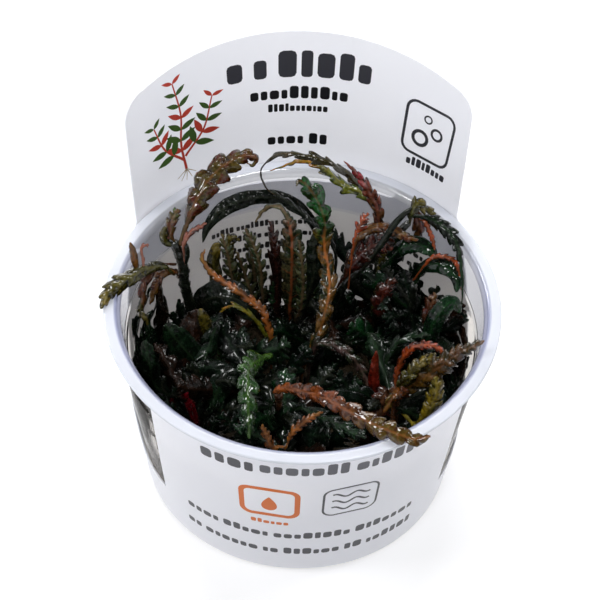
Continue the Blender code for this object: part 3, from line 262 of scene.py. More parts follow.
# Leaves: name, form, palette, slot, width, pairs of lobes, midrib's route and what differs from the form.
# "swell" widens the blade, "arch" bends its sides down and "across" turns it to the side.
# A notch or swell that changes along the blade has pairs of a share of its length and a value.
LEAVES = [
    named_leaf("leaf_back_left_wrinkled", WRINKLED, "bronze", "leaf_brown", 8.6, 8, [(-31.6, 20.5, 57.5),
        (-30.2, 22.5, 62.4), (-28.1, 25.5, 67.1), (-25.7, 29, 70.2), (-23.1, 32, 72), (-19.4, 34.5, 73.3),
        (-15.9, 35.5, 74.6), (-13.3, 35.5, 73.7), (-14, 35, 71.6), (-15.6, 34.5, 72.6)], arch=0.3,
        swell=[(0, 0.6), (0.12, 0.95), (0.3, 1.05), (0.5, 0.8), (0.64, 0.5), (0.78, 0.25), (1, 0.18)]),
    named_leaf("leaf_back_left_pink", WRINKLED, "rose", "leaf_pink", 2.0, 5, [(-30.6, 18.5, 52),
        (-30.8, 19.2, 58.4), (-28.9, 21.5, 60.5), (-27.2, 23, 60.3), (-25.4, 24, 61)], notch=0.45),
    named_leaf("leaf_left_rim_olive", WRINKLED, "olive", "leaf_olive", 5.0, 6, [(-33.5, 14.5, 52),
        (-35.4, 12, 57.2), (-39.6, 8.6, 60), (-43.6, 4, 61.8), (-46.8, 1, 61.8), (-49, -1.6, 60.6),
        (-50.1, -4.4, 59)], arch=0.4, blister=0.3, fold=0.2, notch=0.7, swell=[(0, 0.6), (0.25, 0.8),
        (0.6, 1.0), (0.85, 0.9), (1, 0.7)]),
    named_leaf("leaf_left_rim_upright", SMOOTH, "golden", "leaf_golden", 2.0, 4, [(-41.6, 7.6, 58.6),
        (-42.5, 8.5, 62.5), (-43, 9.5, 65.1), (-43.8, 10.5, 67.7)]),
    named_leaf("leaf_left_brown_hanging", WRINKLED, "brown", "leaf_brown", 2.8, 4, [(-33.6, 17.4, 52),
        (-37, 12.6, 57), (-38.9, 10, 56), (-40.5, 8, 54.7), (-40.7, 6.5, 51.8), (-40.5, 6, 47.6)]),
    named_leaf("leaf_left_curled", WRINKLED, "golden", "leaf_golden", 2.8, 5, [(-32.4, 18.6, 46),
        (-32.9, 15, 51.9), (-35.8, 13, 53.2), (-37.2, 11, 51.9), (-38.2, 9.5, 49.3), (-38.9, 9, 45.9)]),
    named_leaf("leaf_back_black_arch", SMOOTH, "black green", "leaf_black_green", 4.6, 6, [(0, 29.5, 17),
        (3, 32.5, 30), (5, 35, 42), (2.4, 35.5, 48.9), (-1.7, 36.5, 54.4), (-6.4, 37.2, 56.8),
        (-11.6, 37.4, 57.1), (-17.3, 37, 55.7), (-21.9, 36, 53), (-25.4, 33.5, 49.5), (-26.5, 31, 45.8)],
        arch=0.12, swell=[(0, 0.7), (0.4, 0.7), (0.6, 0.9), (0.8, 1.35), (0.92, 1.1), (1, 0.7)]),
    named_leaf("leaf_back_grey_left", FINGERED, "grey green", "leaf_grey_green", 4.4, 8,
        [(-15, 24.8, 22.8), (-18, 23.2, 38), (-19.7, 23.8, 49), (-21.5, 25, 56)]),
    named_leaf("leaf_back_grey_middle", FINGERED, "grey green", "leaf_grey_green", 4.0, 8,
        [(-13, 26.4, 23.2), (-12.6, 27, 35), (-13.8, 28.8, 46), (-15.4, 30, 53)], fold=0.3, gap=0.15,
        notch=0.5),
    named_leaf("leaf_back_red_rib", FINGERED, "grey rib", "leaf_grey_green", 7.2, 9, [(-2.9, 25.6, 20),
        (-3.3, 24.4, 28), (-3.1, 24, 36.3), (-3.2, 24.5, 46.8), (-3.4, 26, 53.6), (-4.3, 28, 58.3),
        (-4.9, 29.5, 60)], fold=0.2, notch=0.6, swell=[(0, 0.7), (0.3, 1.0), (0.55, 1.0), (0.8, 0.75),
        (1, 0.4)], gap=0.15),
    named_leaf("leaf_back_grey_right", FINGERED, "grey green", "leaf_grey_green", 3.8, 8,
        [(-1.2, 26.4, 19.6), (2.2, 26, 32), (2.2, 25.6, 42), (0.8, 26.4, 50)], fold=0.3, gap=0.15,
        notch=0.5),
    named_leaf("leaf_back_toothed_red", FINGERED, "maroon", "leaf_red_brown", 3.6, 5, [(-5.4, 25.4, 17),
        (-6.6, 23.4, 30), (-6.9, 24, 41.6), (-7.6, 24.5, 49.3), (-8, 25.5, 54.7), (-9.4, 27.5, 59)],
        notch=[(0, 0.75), (0.6, 0.75), (0.7, 0.35), (1, 0.3)]),
    named_leaf("leaf_back_long_curl", TOOTHED, "curl", "leaf_black_green", 3.2, 12, [(20.4, 32.6, 51),
        (18.5, 32.8, 58.2), (15.6, 33, 63.9), (12.6, 33, 69), (9.4, 33.2, 72.3), (5.5, 33.3, 75.3),
        (0.4, 34, 76.6), (-4.7, 35, 76.4), (-8.5, 36, 74.2), (-11.3, 36.7, 69.9), (-12, 36.6, 66.3),
        (-10.6, 36.2, 62.3), (-8.2, 35.4, 60.4), (-5.9, 34.8, 59.6)], across=(0, 1, 0.25), wave=0.5,
        swell=[(0, 1), (0.3, 1.3), (0.5, 0.9), (0.62, 0.5), (0.85, 0.3), (1, 0.3)]),
    named_leaf("leaf_back_tip_curl", TOOTHED, "black green", "leaf_black_green", 3.2, 5, [(6.4, 20.6, 30),
        (8, 25, 41), (7.6, 28.4, 49), (3.2, 29.8, 55), (-1.6, 31, 59), (-5.6, 32.6, 61.5),
        (-9, 33.6, 63.5)], across=(0, 1, 0.4)),
    named_leaf("leaf_back_yellow_arch", TOOTHED, "yellow", "leaf_yellow", 3.8, 10, [(21.5, 33.6, 47.5),
        (18.7, 33.6, 53.5), (17.4, 35, 58.8), (13.6, 36.5, 61.5), (9.2, 37.5, 63.2), (4.6, 38.5, 67.1),
        (1, 39.3, 68.6), (-2.7, 40, 68.4), (-6.2, 40.5, 65.8), (-9.6, 40.5, 63.8)], across=(0, 1, 0.3),
        fold=0.3, swell=[(0, 1.1), (0.4, 1.2), (0.7, 0.6), (1, 0.4)]),
    named_leaf("leaf_back_pink_upright", WRINKLED, "pink", "leaf_pink", 3.6, 8, [(18.8, 30.4, 49),
        (18.8, 29.8, 57), (18, 29.8, 63), (15.4, 29.8, 69.6), (12.4, 29.6, 75.5), (8.9, 29.4, 80.3)],
        swell=[(0, 1.1), (0.5, 1.1), (0.75, 0.7), (1, 0.45)], blister=0.3),
    named_leaf("leaf_centre_long_golden", WRINKLED, "golden green", "leaf_golden", 5.4, 12,
        [(0.2, 2.2, 24), (0.6, 2.6, 28.9), (2, 3.4, 33.7), (3.6, 5, 37.9), (5, 7.5, 41), (5.8, 10, 44.4),
        (6.5, 13, 46.5), (6.6, 16, 48.5), (6.2, 19, 50.5), (5.5, 21, 53.6), (4.8, 22.5, 58),
        (4.9, 23.5, 62.3), (4, 24.5, 66.4), (2.3, 25.5, 70.4), (0.2, 26.5, 73.3), (-1.9, 27, 74.9),
        (-2.9, 26, 74.1)], blister=0.2, swell=[(0, 0.8), (0.2, 0.9), (0.5, 0.85), (0.58, 0.9), (0.64, 1.5),
        (0.72, 1.1), (0.8, 1.7), (0.88, 1.3), (1, 0.4)], fold=0.22, notch=[(0, 0.5), (0.5, 0.5),
        (0.6, 0.25), (0.72, 0.3), (0.8, 0.45), (1, 0.45)], wave=0.45),
    named_leaf("leaf_red_twig", FINGERED, "fire", "leaf_orange", 3.8, 7, [(11.6, 18.4, 45.5), (12, 19, 53),
        (12.4, 20, 61.3), (13.3, 21, 64), (14.2, 22, 66.4), (15.6, 23, 68.4)], notch=0.1, swell=[(0, 0.2),
        (0.45, 0.25), (0.6, 1.0), (1, 1.1)]),
    named_leaf("leaf_right_brown_wrinkled", WRINKLED, "red brown", "leaf_red_brown", 7.0, 6,
        [(9.6, 21.4, 42), (11.8, 21, 49.3), (14.2, 22, 53.4), (16.9, 22.5, 56.1), (20.2, 22.5, 57.6),
        (22.4, 22, 56.4)]),
    named_leaf("leaf_right_golden_bridge", WRINKLED, "golden", "leaf_golden", 3.2, 7, [(11.8, 22, 51.5),
        (13, 23.5, 56.7), (15.4, 24.5, 59.9), (18.9, 24.5, 61.6), (22.8, 23.5, 61.4), (26.2, 22.5, 60.1),
        (28.7, 22, 60)], notch=0.75),
    named_leaf("leaf_right_drape", LOBED, "dark green", "leaf_dark_green", 3.8, 9, [(26.8, 27.6, 63),
        (30, 26, 64.4), (33.3, 25, 63.8), (36.4, 22.5, 63), (38.6, 19.5, 61.5), (39.7, 16, 58.6),
        (40.5, 12.5, 54), (40.6, 10, 47)], arch=0.35, swell=[(0, 1.1), (0.3, 1.3), (0.55, 0.9),
        (0.7, 0.35), (1, 0.25)], notch=0.5, blister=0.2),
    named_leaf("leaf_right_green_gloss", SMOOTH, "deep green", "leaf_green", 4.6, 4, [(20.6, 22.6, 49),
        (23.7, 23, 54), (25.6, 23, 56.4), (28.9, 23, 57.4), (32, 22, 56.4), (33.6, 20.5, 54.6)]),
    named_leaf("leaf_right_orange_thin", TOOTHED, "fire", "leaf_orange", 1.8, 7, [(29.2, 26.2, 63),
        (30.3, 25, 63.7), (31.4, 24, 61.8), (32.6, 22.5, 59.3), (33.2, 21.5, 57.1)]),
    named_leaf("leaf_right_red_thin", TOOTHED, "fire", "leaf_red", 1.8, 10, [(28.8, 20.4, 47.5),
        (31.2, 19.5, 54), (33, 19.5, 56.6), (36, 18.5, 57.9), (38.3, 17.5, 57.3), (39.5, 16, 55.2),
        (40.3, 14, 50.5)]),
    named_leaf("leaf_right_green_fan", SMOOTH, "deep green", "leaf_dark_green", 4.6, 4, [(29.2, 20.6, 46),
        (30.8, 20.5, 51.1), (33.7, 19.5, 53.9), (36.7, 17.5, 54.8), (38.8, 15, 54), (39.2, 12.5, 51.4)]),
    named_leaf("leaf_right_dark_arc", WRINKLED, "red brown", "leaf_red_brown", 6.0, 5, [(26.6, 18.6, 30),
        (21.5, 17.8, 36), (20.6, 18.8, 42.5), (23.6, 20.6, 46.5)]),
    named_leaf("leaf_right_pink_brown", WRINKLED, "brown", "leaf_brown", 4.2, 4, [(32, 8.8, 39),
        (32.2, 10, 43), (33, 11.6, 47), (33.6, 13.2, 50)]),
    named_leaf("leaf_right_brown_hanging", WRINKLED, "brown", "leaf_brown", 3.6, 4, [(26.6, 27.2, 61.6),
        (27.5, 29, 62.9), (28.7, 28.5, 59.7), (29.1, 27.5, 56.6), (28.8, 26, 54.4)]),
    named_leaf("leaf_orange_narrow", WRINKLED, "ember", "leaf_orange", 2.6, 17, [(-7.4, 5.4, 27.2),
        (-7.6, 5.1, 31.8), (-7.7, 4.4, 39.9), (-8.9, 5, 45.4), (-10.2, 6, 48.9), (-13.4, 7.5, 50.8),
        (-17.3, 8.8, 53.3), (-20.7, 10.5, 54.3), (-23.8, 12, 56.2), (-25.9, 14, 58.8),
        (-25.2, 15.5, 60.4)], blister=0.2, notch=0.5, fold=0.12, arch=0.05, wave=0.4),
    named_leaf("leaf_yellow_curl", TOOTHED, "yellow", "leaf_yellow", 1.5, 6, [(-7.4, 6.2, 27),
        (-8.1, 6, 32.3), (-9, 6, 38.3), (-11.4, 6, 44.1), (-14, 6.5, 47.2), (-17.2, 7.5, 48.2),
        (-19.7, 7.8, 46.7), (-21.6, 8.2, 43.6)]),
    named_leaf("leaf_left_oval_olive", SMOOTH, "olive", "leaf_olive", 3.2, 2, [(-21.6, 2.2, 41),
        (-23.5, 1.5, 44.3), (-24.2, 1, 48), (-25.2, 1, 51.8), (-26, 1.5, 53.5)]),
    named_leaf("leaf_left_dark_green", LOBED, "dark green", "leaf_dark_green", 4.6, 4, [(-20.8, 2.6, 42),
        (-20.5, 3, 47), (-22.1, 0.5, 46.2), (-23.5, -2, 42.4), (-24.9, -5, 39.7), (-26.3, -7, 36.4),
        (-27.7, -9, 33.1)], notch=0.55),
    named_leaf("leaf_left_wall_teal", SMOOTH, "dark green", "leaf_dark_green", 4.4, 4, [(-33.6, -9, 31),
        (-37, -8, 34.5), (-38, -7, 39.7), (-38.8, -5, 43.6), (-39.4, -3, 45.9)]),
    named_leaf("leaf_front_green_lobed", LOBED, "two greens", "leaf_green", 8.0, 8, [(-7.7, -7.5, 47),
        (-9.6, -10.6, 49.6), (-11.5, -15.1, 53), (-12.8, -19.2, 55), (-12.6, -24, 55.2),
        (-12.4, -29, 53.4), (-11.9, -33, 50.6), (-11.8, -35.4, 48.6)], arch=0.25, square=0.4,
        swell=[(0, 0.9), (0.2, 1.35), (0.36, 0.7), (0.6, 0.75), (0.85, 0.6), (1, 0.4)]),
    named_leaf("leaf_front_left_olive", SMOOTH, "dark green", "leaf_olive", 6.4, 4, [(-15.4, -9.4, 36),
        (-17, -10, 40.4), (-19.2, -11.6, 41), (-21, -13.8, 37.6), (-21.8, -15, 32)]),
    named_leaf("leaf_centre_grey_arch", WRINKLED, "purple brown", "leaf_grey_green", 3.4, 9,
        [(1.6, 0.8, 22), (2.6, 1.4, 34), (3.9, 1.5, 41.3), (6.9, 1, 42.4), (10.5, 0, 41.9),
        (13.9, -2, 40.1), (16.4, -4, 37.1), (17.6, -6, 34), (17.3, -7, 29.5)], arch=0.3, blister=0.5),
    named_leaf("leaf_front_rim_orange", WRINKLED, "orange brown", "leaf_orange", 6.4, 13,
        [(-5, -18.8, 46.6), (-6.2, -21.2, 49.5), (-4, -21.4, 51.5), (-0.8, -23.9, 54), (2.2, -26, 56),
        (5.1, -28.7, 58), (8.8, -32, 59.6), (12.5, -35.4, 60.6), (16.2, -38.2, 61.2), (19.8, -40.3, 61.4),
        (24.2, -42.1, 61.2), (28.3, -42.9, 60.6), (32, -41.3, 59.8)], arch=0.1, blister=0.25, notch=0.55,
        fold=0.14, swell=[(0, 0.7), (0.3, 0.75), (0.6, 0.85), (0.8, 1.15), (0.95, 1.25), (1, 0.9)]),
    named_leaf("leaf_front_green_under", LOBED, "dark green", "leaf_green", 5.0, 5, [(-3.5, -20.2, 38),
        (0.4, -21.5, 44), (4.9, -26.2, 47), (9.1, -30.6, 50), (13.3, -34.8, 52), (16.7, -37.6, 53.5)]),
    named_leaf("leaf_front_orange_right", LOBED, "ember", "leaf_orange", 2.6, 8, [(-2.6, -32, 41.8),
        (-1, -32.3, 48), (2.5, -31, 51.6), (6, -29.6, 53)], arch=0.05),
    named_leaf("leaf_front_orange_left", LOBED, "ember", "leaf_orange", 2.8, 6, [(-3.8, -32, 41.6),
        (-6, -33.4, 43), (-7.6, -33, 47), (-8.8, -32, 50)], arch=0.05),
    named_leaf("leaf_right_rim_brown", WRINKLED, "rim brown", "leaf_brown", 5.6, 9, [(25.2, -12.6, 40),
        (26.4, -12.8, 42), (29.6, -14, 47.6), (33.4, -15.3, 53.4), (36.5, -15.4, 57.6),
        (39.3, -15.3, 60.8), (42.1, -14.5, 62), (45.1, -12.4, 62)], arch=0.3, swell=[(0, 1.3), (0.4, 1.3),
        (0.65, 0.8), (0.85, 0.75), (1, 0.9)]),
    named_leaf("leaf_right_orange_arch", WRINKLED, "fire", "leaf_orange", 2.6, 13, [(24.6, -12.4, 39.6),
        (24.2, -11, 43), (24.6, -9.6, 46), (25.9, -8.7, 50.5), (27.7, -8.9, 54), (30.6, -9.8, 56.5),
        (33.5, -11.2, 57.5), (35.6, -12.1, 56), (36.5, -12.1, 53)], notch=0.5, blister=0.2, arch=0.05),
    named_leaf("leaf_right_olive", LOBED, "olive", "leaf_olive", 5.0, 5, [(26.3, -12.6, 41.2),
        (28.2, -13.4, 47.5), (30.8, -13.2, 52.5), (34.6, -11.6, 54)]),
    named_leaf("leaf_right_yellow_wall", WRINKLED, "yellow olive", "leaf_yellow", 4.8, 6, [(27, -16, 36),
        (29.6, -21, 38.6), (31.6, -22.2, 42), (32.9, -21.8, 46), (33.6, -20.8, 49.5), (34, -19.6, 52.8),
        (33.4, -18.4, 54.5)], notch=0.7),
    named_leaf("leaf_front_orange_brown", WRINKLED, "brown", "leaf_brown", 5.6, 5, [(23, -13.4, 40),
        (21.4, -16, 43.6), (20.2, -18.6, 41), (19.8, -19.8, 34.5)]),
]

# Leaves that grow from the stems, by plantlet.
EXTRA_LEAVES = {
    "plantlet_back_centre": [
        leaf(FINGERED, "grey green", 4.4, 9, [(-12.8, 26.2, 19), (-10.6, 25.2, 26), (-11.1, 25.2, 41.6),
            (-12.3, 26, 47.3), (-13.9, 27, 51.9), (-15.6, 28, 54.9)], swell=[(0, 0.5), (0.4, 0.9),
            (1, 0.9)]),
        leaf(FINGERED, "grey green", 4.8, 9, [(-12.4, 26.4, 19), (-11.6, 24, 24), (-13.3, 24, 33.3),
            (-15.5, 25, 41.6), (-17.7, 26.5, 48)], swell=[(0, 0.5), (0.4, 0.9), (1, 0.9)]),
        leaf(WRINKLED, "olive", 3.8, 7, [(-13, 25.9, 21), (-16.4, 23, 30), (-17.5, 24, 39.4),
            (-19, 25, 45.3), (-19.6, 26, 49.6), (-18.9, 27, 52.7), (-17.1, 27.5, 51.1)], swell=[(0, 0.5),
            (0.4, 0.8), (1, 1)]),
        leaf(SMOOTH, "black green", 4.8, 3, [(-2.6, 26, 19), (-0.5, 22, 26.8), (1.3, 20.5, 38.3),
            (2.6, 20.5, 47), (2.4, 22, 53.8), (1.9, 24, 58.5)], swell=[(0, 0.15), (0.45, 0.4), (0.7, 1.1),
            (1, 1)]),
        leaf(FINGERED, "grey green", 4.4, 9, [(-2.5, 26, 19), (-0.6, 21, 32), (0, 21, 40.8),
            (-0.6, 22, 49.8), (-1.6, 24, 56)]),
        leaf(FINGERED, "dark green", 4.0, 8, [(-2.8, 26.2, 18), (-5.4, 24.6, 22), (-6.6, 24, 27),
            (-7.5, 23.5, 32.6), (-7.9, 23.5, 40)]),
        leaf(TOOTHED, "grey green", 2.0, 6, [(-3.2, 25, 48), (-3.4, 27, 54.1), (-4.3, 28, 58.3),
            (-6.2, 30, 60.9), (-9.1, 31.5, 60.2), (-11.4, 32, 57.3), (-12.9, 31, 54.5)]),
    ],
    "plantlet_back_left": [
        leaf(SMOOTH, "olive", 3.6, 4, [(-28.6, 18.6, 34), (-24, 19, 36.5), (-22.6, 21, 42.5),
            (-23.5, 22.5, 47.8), (-22.8, 24, 51.6), (-21.4, 25.5, 51.9)]),
        leaf(SMOOTH, "black green", 9.0, 4, [(-28.4, 18.6, 33), (-25.6, 14, 42), (-20.5, 12, 46.6),
            (-15.6, 11, 45.5), (-12.6, 9.6, 39)], arch=0.25),
        leaf(WRINKLED, "olive", 2.2, 3, [(-38.6, 11, 56.2), (-41, 6.2, 49.4), (-41.3, 6, 46.9),
            (-40, 5, 45.4), (-39.2, 4.5, 43.3)]),
        leaf(TOOTHED, "rose", 1.0, 4, [(-38.4, 11, 58.2), (-40.3, 9, 59.7), (-40.6, 10, 62.4),
            (-41.1, 11, 64.3), (-40.1, 11.5, 65.7), (-39.4, 11.5, 65)]),
        leaf(WRINKLED, "bronze", 3.4, 4, [(-33.2, 20.5, 57), (-34.3, 20.6, 60), (-34.2, 21.2, 63.4),
            (-33.2, 22, 66), (-32.4, 22.6, 67.4)]),
        leaf(SMOOTH, "olive", 2.4, 3, [(-33, 20.2, 56), (-35.4, 20, 57.6), (-36, 20.4, 60.4),
            (-35.2, 21, 62.6)]),
    ],
    "plantlet_leaning": [
        leaf(SMOOTH, "black green", 1.8, 3, [(14, 20.6, 47.6), (16.3, 20.5, 52.5), (20.1, 22, 59.5),
            (22.6, 23.5, 64.1), (25, 24.5, 67.3), (27.2, 25.5, 68.9)]),
        leaf(WRINKLED, "olive", 3.6, 4, [(26.4, 26.4, 61.6), (26.5, 25, 66), (27.4, 25.5, 69),
            (28.4, 26, 69.6), (30.3, 26, 67.5), (32.9, 25.5, 66.3)]),
    ],
    "plantlet_front_right": [
        leaf(SMOOTH, "red", 3.4, 5, [(24.6, -13.2, 30), (20.4, -11, 33), (18.8, -9, 40), (19, -6, 49)]),
        leaf(LOBED, "dark green", 3.6, 5, [(24.4, -13, 34), (21.6, -5, 39), (24, -1.4, 46),
            (28.4, -0.6, 48.6), (32.7, 2, 46.6)]),
        leaf(WRINKLED, "orange brown", 3.4, 5, [(24.5, -12.8, 38), (26.4, -15.6, 44), (23.9, -18.4, 47),
            (21.4, -21, 43)]),
        leaf(WRINKLED, "olive", 4.0, 7, [(24.5, -12.6, 39), (26, -14.4, 47), (29.4, -13.4, 52.6),
            (33.6, -11.2, 55)]),
    ],
    "plantlet_right": [
        leaf(SMOOTH, "deep green", 5.0, 4, [(31.6, 8.8, 32), (32.4, 5.4, 40), (34.4, 7, 48),
            (38, 9.6, 50.6), (40.4, 9, 47.6)]),
    ],
}

# Stems and the low leaves on them: widths are ranges, and a coarser blade has fewer points.
STEM_FOOT = 3.6
STEM_TAPER = 0.2
STEM_SIDES = 10
STEM_FOOT_MARGIN = 8.0
SHOOT_RADIUS = 0.85
LOW_LEAF_START = 11.0
LOW_LEAF_TURN = 137.5
LOW_LEAF_GAP = 1.35
LOW_LEAF_TOP = 47.0
LOW_LEAF_WIDTH = (0.32, 0.48)
LOW_LEAF_COARSENESS = 1.5
HIGH_LEAF_START = 17.0
HIGH_LEAF_GAP = 3.2
WALL_CLEARANCE = 1.2
WALL_LEAF_PITCH = 7.5
WALL_LEAF_WIDTH = (7.0, 9.5)
WALL_LEAF_COARSENESS = 2.0
LYING_LEAF_FOOT = 8.0
LYING_LEAF_PITCH = 6.0
LYING_LEAF_WIDTH = (8.0, 10.0)
LYING_LEAF_COARSENESS = 2.6


def plantlet(name, colour, radius, turn, reach, top, route, shoot=(), highest=LOW_LEAF_TOP, wall=()):
    """Values of a plantlet."""
    return {"name": name, "colour": colour, "radius": radius, "turn": turn, "reach": reach, "top": top,
            "route": route, "shoot": shoot, "highest": highest, "wall": wall}


# Plantlets: name, colour and radius of the stem, the low leaves' first turn and their reach, the height
# up to which they grow, and the stem's route up from the gel. Some have a side shoot, a limit for the
# leaves' tips, and leaves against the wall from one turn to another up to a height.
PLANTLETS = [
    plantlet("plantlet_back_left", "black green", 1.6, 10, 10, 25, [(-27, 19, 0), (-27, 19, 12),
        (-28, 18.5, 28), (-30.6, 18.5, 43), (-31, 18.6, 50), (-33.4, 20.6, 57.6)], shoot=[(-31, 18.6, 50),
        (-30, 19, 54.6), (-30.4, 19.4, 58)], highest=29, wall=(-150, -112, 24)),
    plantlet("plantlet_back_centre", "dark green", 1.2, 200, 8, 17, [(-8, 28, 0), (-8, 28, 11),
        (-9, 27.5, 15), (-12, 26.5, 19), (-14, 25.5, 22)], shoot=[(-8, 28, 12), (-5, 27.5, 14),
        (-3, 26.5, 17), (-2.5, 26, 19)], highest=19, wall=(150, 210, 16)),
    plantlet("plantlet_back_right", "olive", 1.3, 50, 11, 30, [(19, 28, 0), (19, 28, 12), (19.3, 28.6, 24),
        (20, 30, 38), (20.5, 32, 50)], wall=(112, 150, 26)),
    plantlet("stem_back_right_thin", "black green", 0.7, 0, 0, 0, [(12, 32.5, 0), (12, 32.5, 14),
        (14, 32, 32), (15.5, 31.5, 55)]),
    plantlet("plantlet_leaning", "black green", 1.2, 105, 11, 32, [(4, 18, 0), (4, 18, 12),
        (6.5, 18.5, 26), (10, 20, 42), (18, 22.5, 53), (26.5, 26.5, 62)], highest=34),
    plantlet("plantlet_right", "black green", 1.2, 0, 11, 40, [(29, 13, 0), (29, 13, 12), (28.5, 17, 28),
        (28.5, 20.5, 45)], shoot=[(29, 13.8, 18), (30, 11, 22), (31.5, 8.8, 30), (32, 8.6, 38)],
        wall=(72, 118, 42)),
    plantlet("plantlet_front_right", "brown", 1.2, 90, 12, 39, [(25, -14, 0), (25, -14, 12),
        (24.5, -13.5, 27), (24.5, -12.5, 40)], wall=(28, 76, 45)),
    plantlet("plantlet_front_left", "dark green", 1.2, 50, 12, 42, [(-15, -7, 0), (-15, -7, 12),
        (-14, -8, 30), (-11.5, -8, 46)], shoot=[(-15, -7, 18), (-17, -4, 24), (-20, -0.5, 32),
        (-21, 2.6, 42)], wall=(-46, -20, 36)),
    plantlet("plantlet_centre", "black green", 1.2, 300, 11, 26, [(1, 1, 0), (1, 1, 12), (0.6, 1.6, 22)],
        shoot=[(1, 1, 11), (-3, 3, 14), (-6, 5, 19), (-7.4, 5.8, 26)], highest=36),
    plantlet("plantlet_front", "brown", 1.2, 155, 12, 41, [(-5, -19, 0), (-5, -19, 12), (-5, -19, 30),
        (-5, -18.5, 46)], shoot=[(-5, -19, 18), (-4, -22, 24), (-3, -27, 32), (-3, -31.3, 40.5)],
        wall=(-20, 28, 36)),
    plantlet("plantlet_left_red", "red", 1.35, 240, 11, 38, [(-27, -12, 0), (-27, -12, 12),
        (-26, -16.5, 30), (-28.8, -16.2, 43)], shoot=[(-26.6, -14, 18), (-29.5, -10.5, 21), (-32, -9, 26),
        (-33, -9, 31)], wall=(-116, -40, 45)),
]
WALL_PALETTES = ("shadow green", "shadow brown", "dark green", "shadow brown")
HIGH_PALETTES = ("dark green", "shadow green", "black green", "shadow brown", "shadow green", "deep green")
LOW_PALETTES = ("black green", "black green", "shadow green", "shadow green", "shadow brown", "dark green")


# Camera, light and floor

def add_object(name, data):
    """Put a new object in the scene."""
    piece = bpy.data.objects.new(name, data)
    bpy.context.scene.collection.objects.link(piece)
    return piece


def make_camera():
    """Camera at the photograph's viewing angle."""
    lens = bpy.data.cameras.new("camera")
    lens.lens = CAMERA_LENS
    lens.sensor_width = CAMERA_SENSOR
    lens.clip_start = 0.01
    camera = add_object("camera", lens)
    camera.matrix_world = (
        Matrix.Translation(Vector(CAMERA_PLACE) * MM)
        @ Matrix.Rotation(math.radians(90.0 - CAMERA_ELEVATION), 4, "X")
        @ Matrix.Rotation(math.radians(CAMERA_ROLL), 4, "Z")
    )
    bpy.context.scene.camera = camera


def make_studio():
    """White surroundings, brighter at the sides and dim overhead, with small lamps for the wet glints."""
    world = bpy.data.worlds.new("studio")
    bpy.context.scene.world = world
    tree = Tree(world, "Background")
    direction = tree.add("TexCoord", {}).outputs["Generated"]
    across, _, upward = tree.add("SeparateXYZ", {"Vector": direction}).outputs
    height = tree.carry(upward, 0.15, 0.65, 1.0, 0.12)
    left = tree.carry(across, -0.2, -0.9, 0.0, 0.6)
    right = tree.carry(across, 0.2, 0.9, 0.0, 0.5)
    sides = tree.math("ADD", tree.math("ADD", left, right), 0.45)
    tree.put({"Strength": tree.math("MULTIPLY", sides, height), "Color": (0.95, 0.97, 1.0, 1.0)})
    for name, place, size, radiance in LAMPS:
        lamp = bpy.data.lights.new(name, "AREA")
        lamp.size = size
        lamp.energy = radiance * math.pi * size ** 2
        light = add_object(name, lamp)
        light.location = place
        light.rotation_euler = (Vector(LAMP_AIM) - Vector(place)).to_track_quat("-Z", "Y").to_euler()
    bpy.context.scene.view_settings.view_transform = "Standard"


def make_floor():
    """Plain pale floor."""
    mesh = bpy.data.meshes.new("floor")
    corners = [(x, y, 0.0) for y in (-FLOOR_REACH, FLOOR_REACH) for x in (-FLOOR_REACH, FLOOR_REACH)]
    mesh.from_pydata(corners, [], [(0, 1, 3, 2)])
    tree = new_material("floor")
    tree.put({"Base Color": (0.45, 0.45, 0.46, 1.0), "Roughness": 0.8,
              "Emission Color": (1.0, 1.0, 1.0, 1.0), "Emission Strength": 0.62})
    mesh.materials.append(tree.owner)
    floor = add_object("floor", mesh)


# Materials

class Tree:
    """Node tree of a material or the world, with short ways to add linked nodes."""

    def __init__(self, owner, main):
        owner.use_nodes = True
        self.owner = owner
        self.nodes = owner.node_tree.nodes
        self.main = self.nodes[main]

    def put(self, inputs, node=None):
        """Set inputs of a node or of the main one, each to a plain value or to another node's output."""
        if node is None:
            node = self.main
        for name, value in inputs.items():
            if isinstance(value, bpy.types.NodeSocket):
                self.owner.node_tree.links.new(value, node.inputs[name])
            else:
                node.inputs[name].default_value = value

    def add(self, kind, inputs, **settings):
        """New node with its settings and inputs."""
        node = self.nodes.new("ShaderNode" + kind)
        for name, value in settings.items():
            setattr(node, name, value)
        self.put(inputs, node)
        return node

    def noise(self, scale, detail=3.0):
        """Noise in the object's own space, at a scale in cells per metre."""
        place = self.add("TexCoord", {}).outputs["Object"]
        inputs = {"Scale": scale, "Detail": detail, "Roughness": 0.55, "Vector": place}
        return self.add("TexNoise", inputs).outputs["Fac"]

    def carry(self, value, low, high, new_low=0.0, new_high=1.0):
        """Value carried from one range to another and held inside it."""
        inputs = {"Value": value, "From Min": low, "From Max": high, "To Min": new_low, "To Max": new_high}
        return self.add("MapRange", inputs).outputs["Result"]

    def math(self, operation, first, second):
        """Sum or product of two values."""
        return self.add("Math", {0: first, 1: second}, operation=operation).outputs["Value"]

    def mix(self, share, first, second):
        """Mix of two colours."""
        return self.add("Mix", {"Factor": share, 6: first, 7: second}, data_type="RGBA").outputs[2]

    def bump(self, height, strength, distance):
        """Surface relief from a height."""
        inputs = {"Strength": strength, "Distance": distance, "Height": height}
        return self.add("Bump", inputs).outputs["Normal"]


def new_material(name):
    """Node tree of a new material with a Principled shader."""
    return Tree(bpy.data.materials.new(name), "Principled BSDF")


def darker(colour, share):
    """Linear colour at a share of its brightness."""
    return tuple(share * part for part in colour[:3]) + (1.0,)


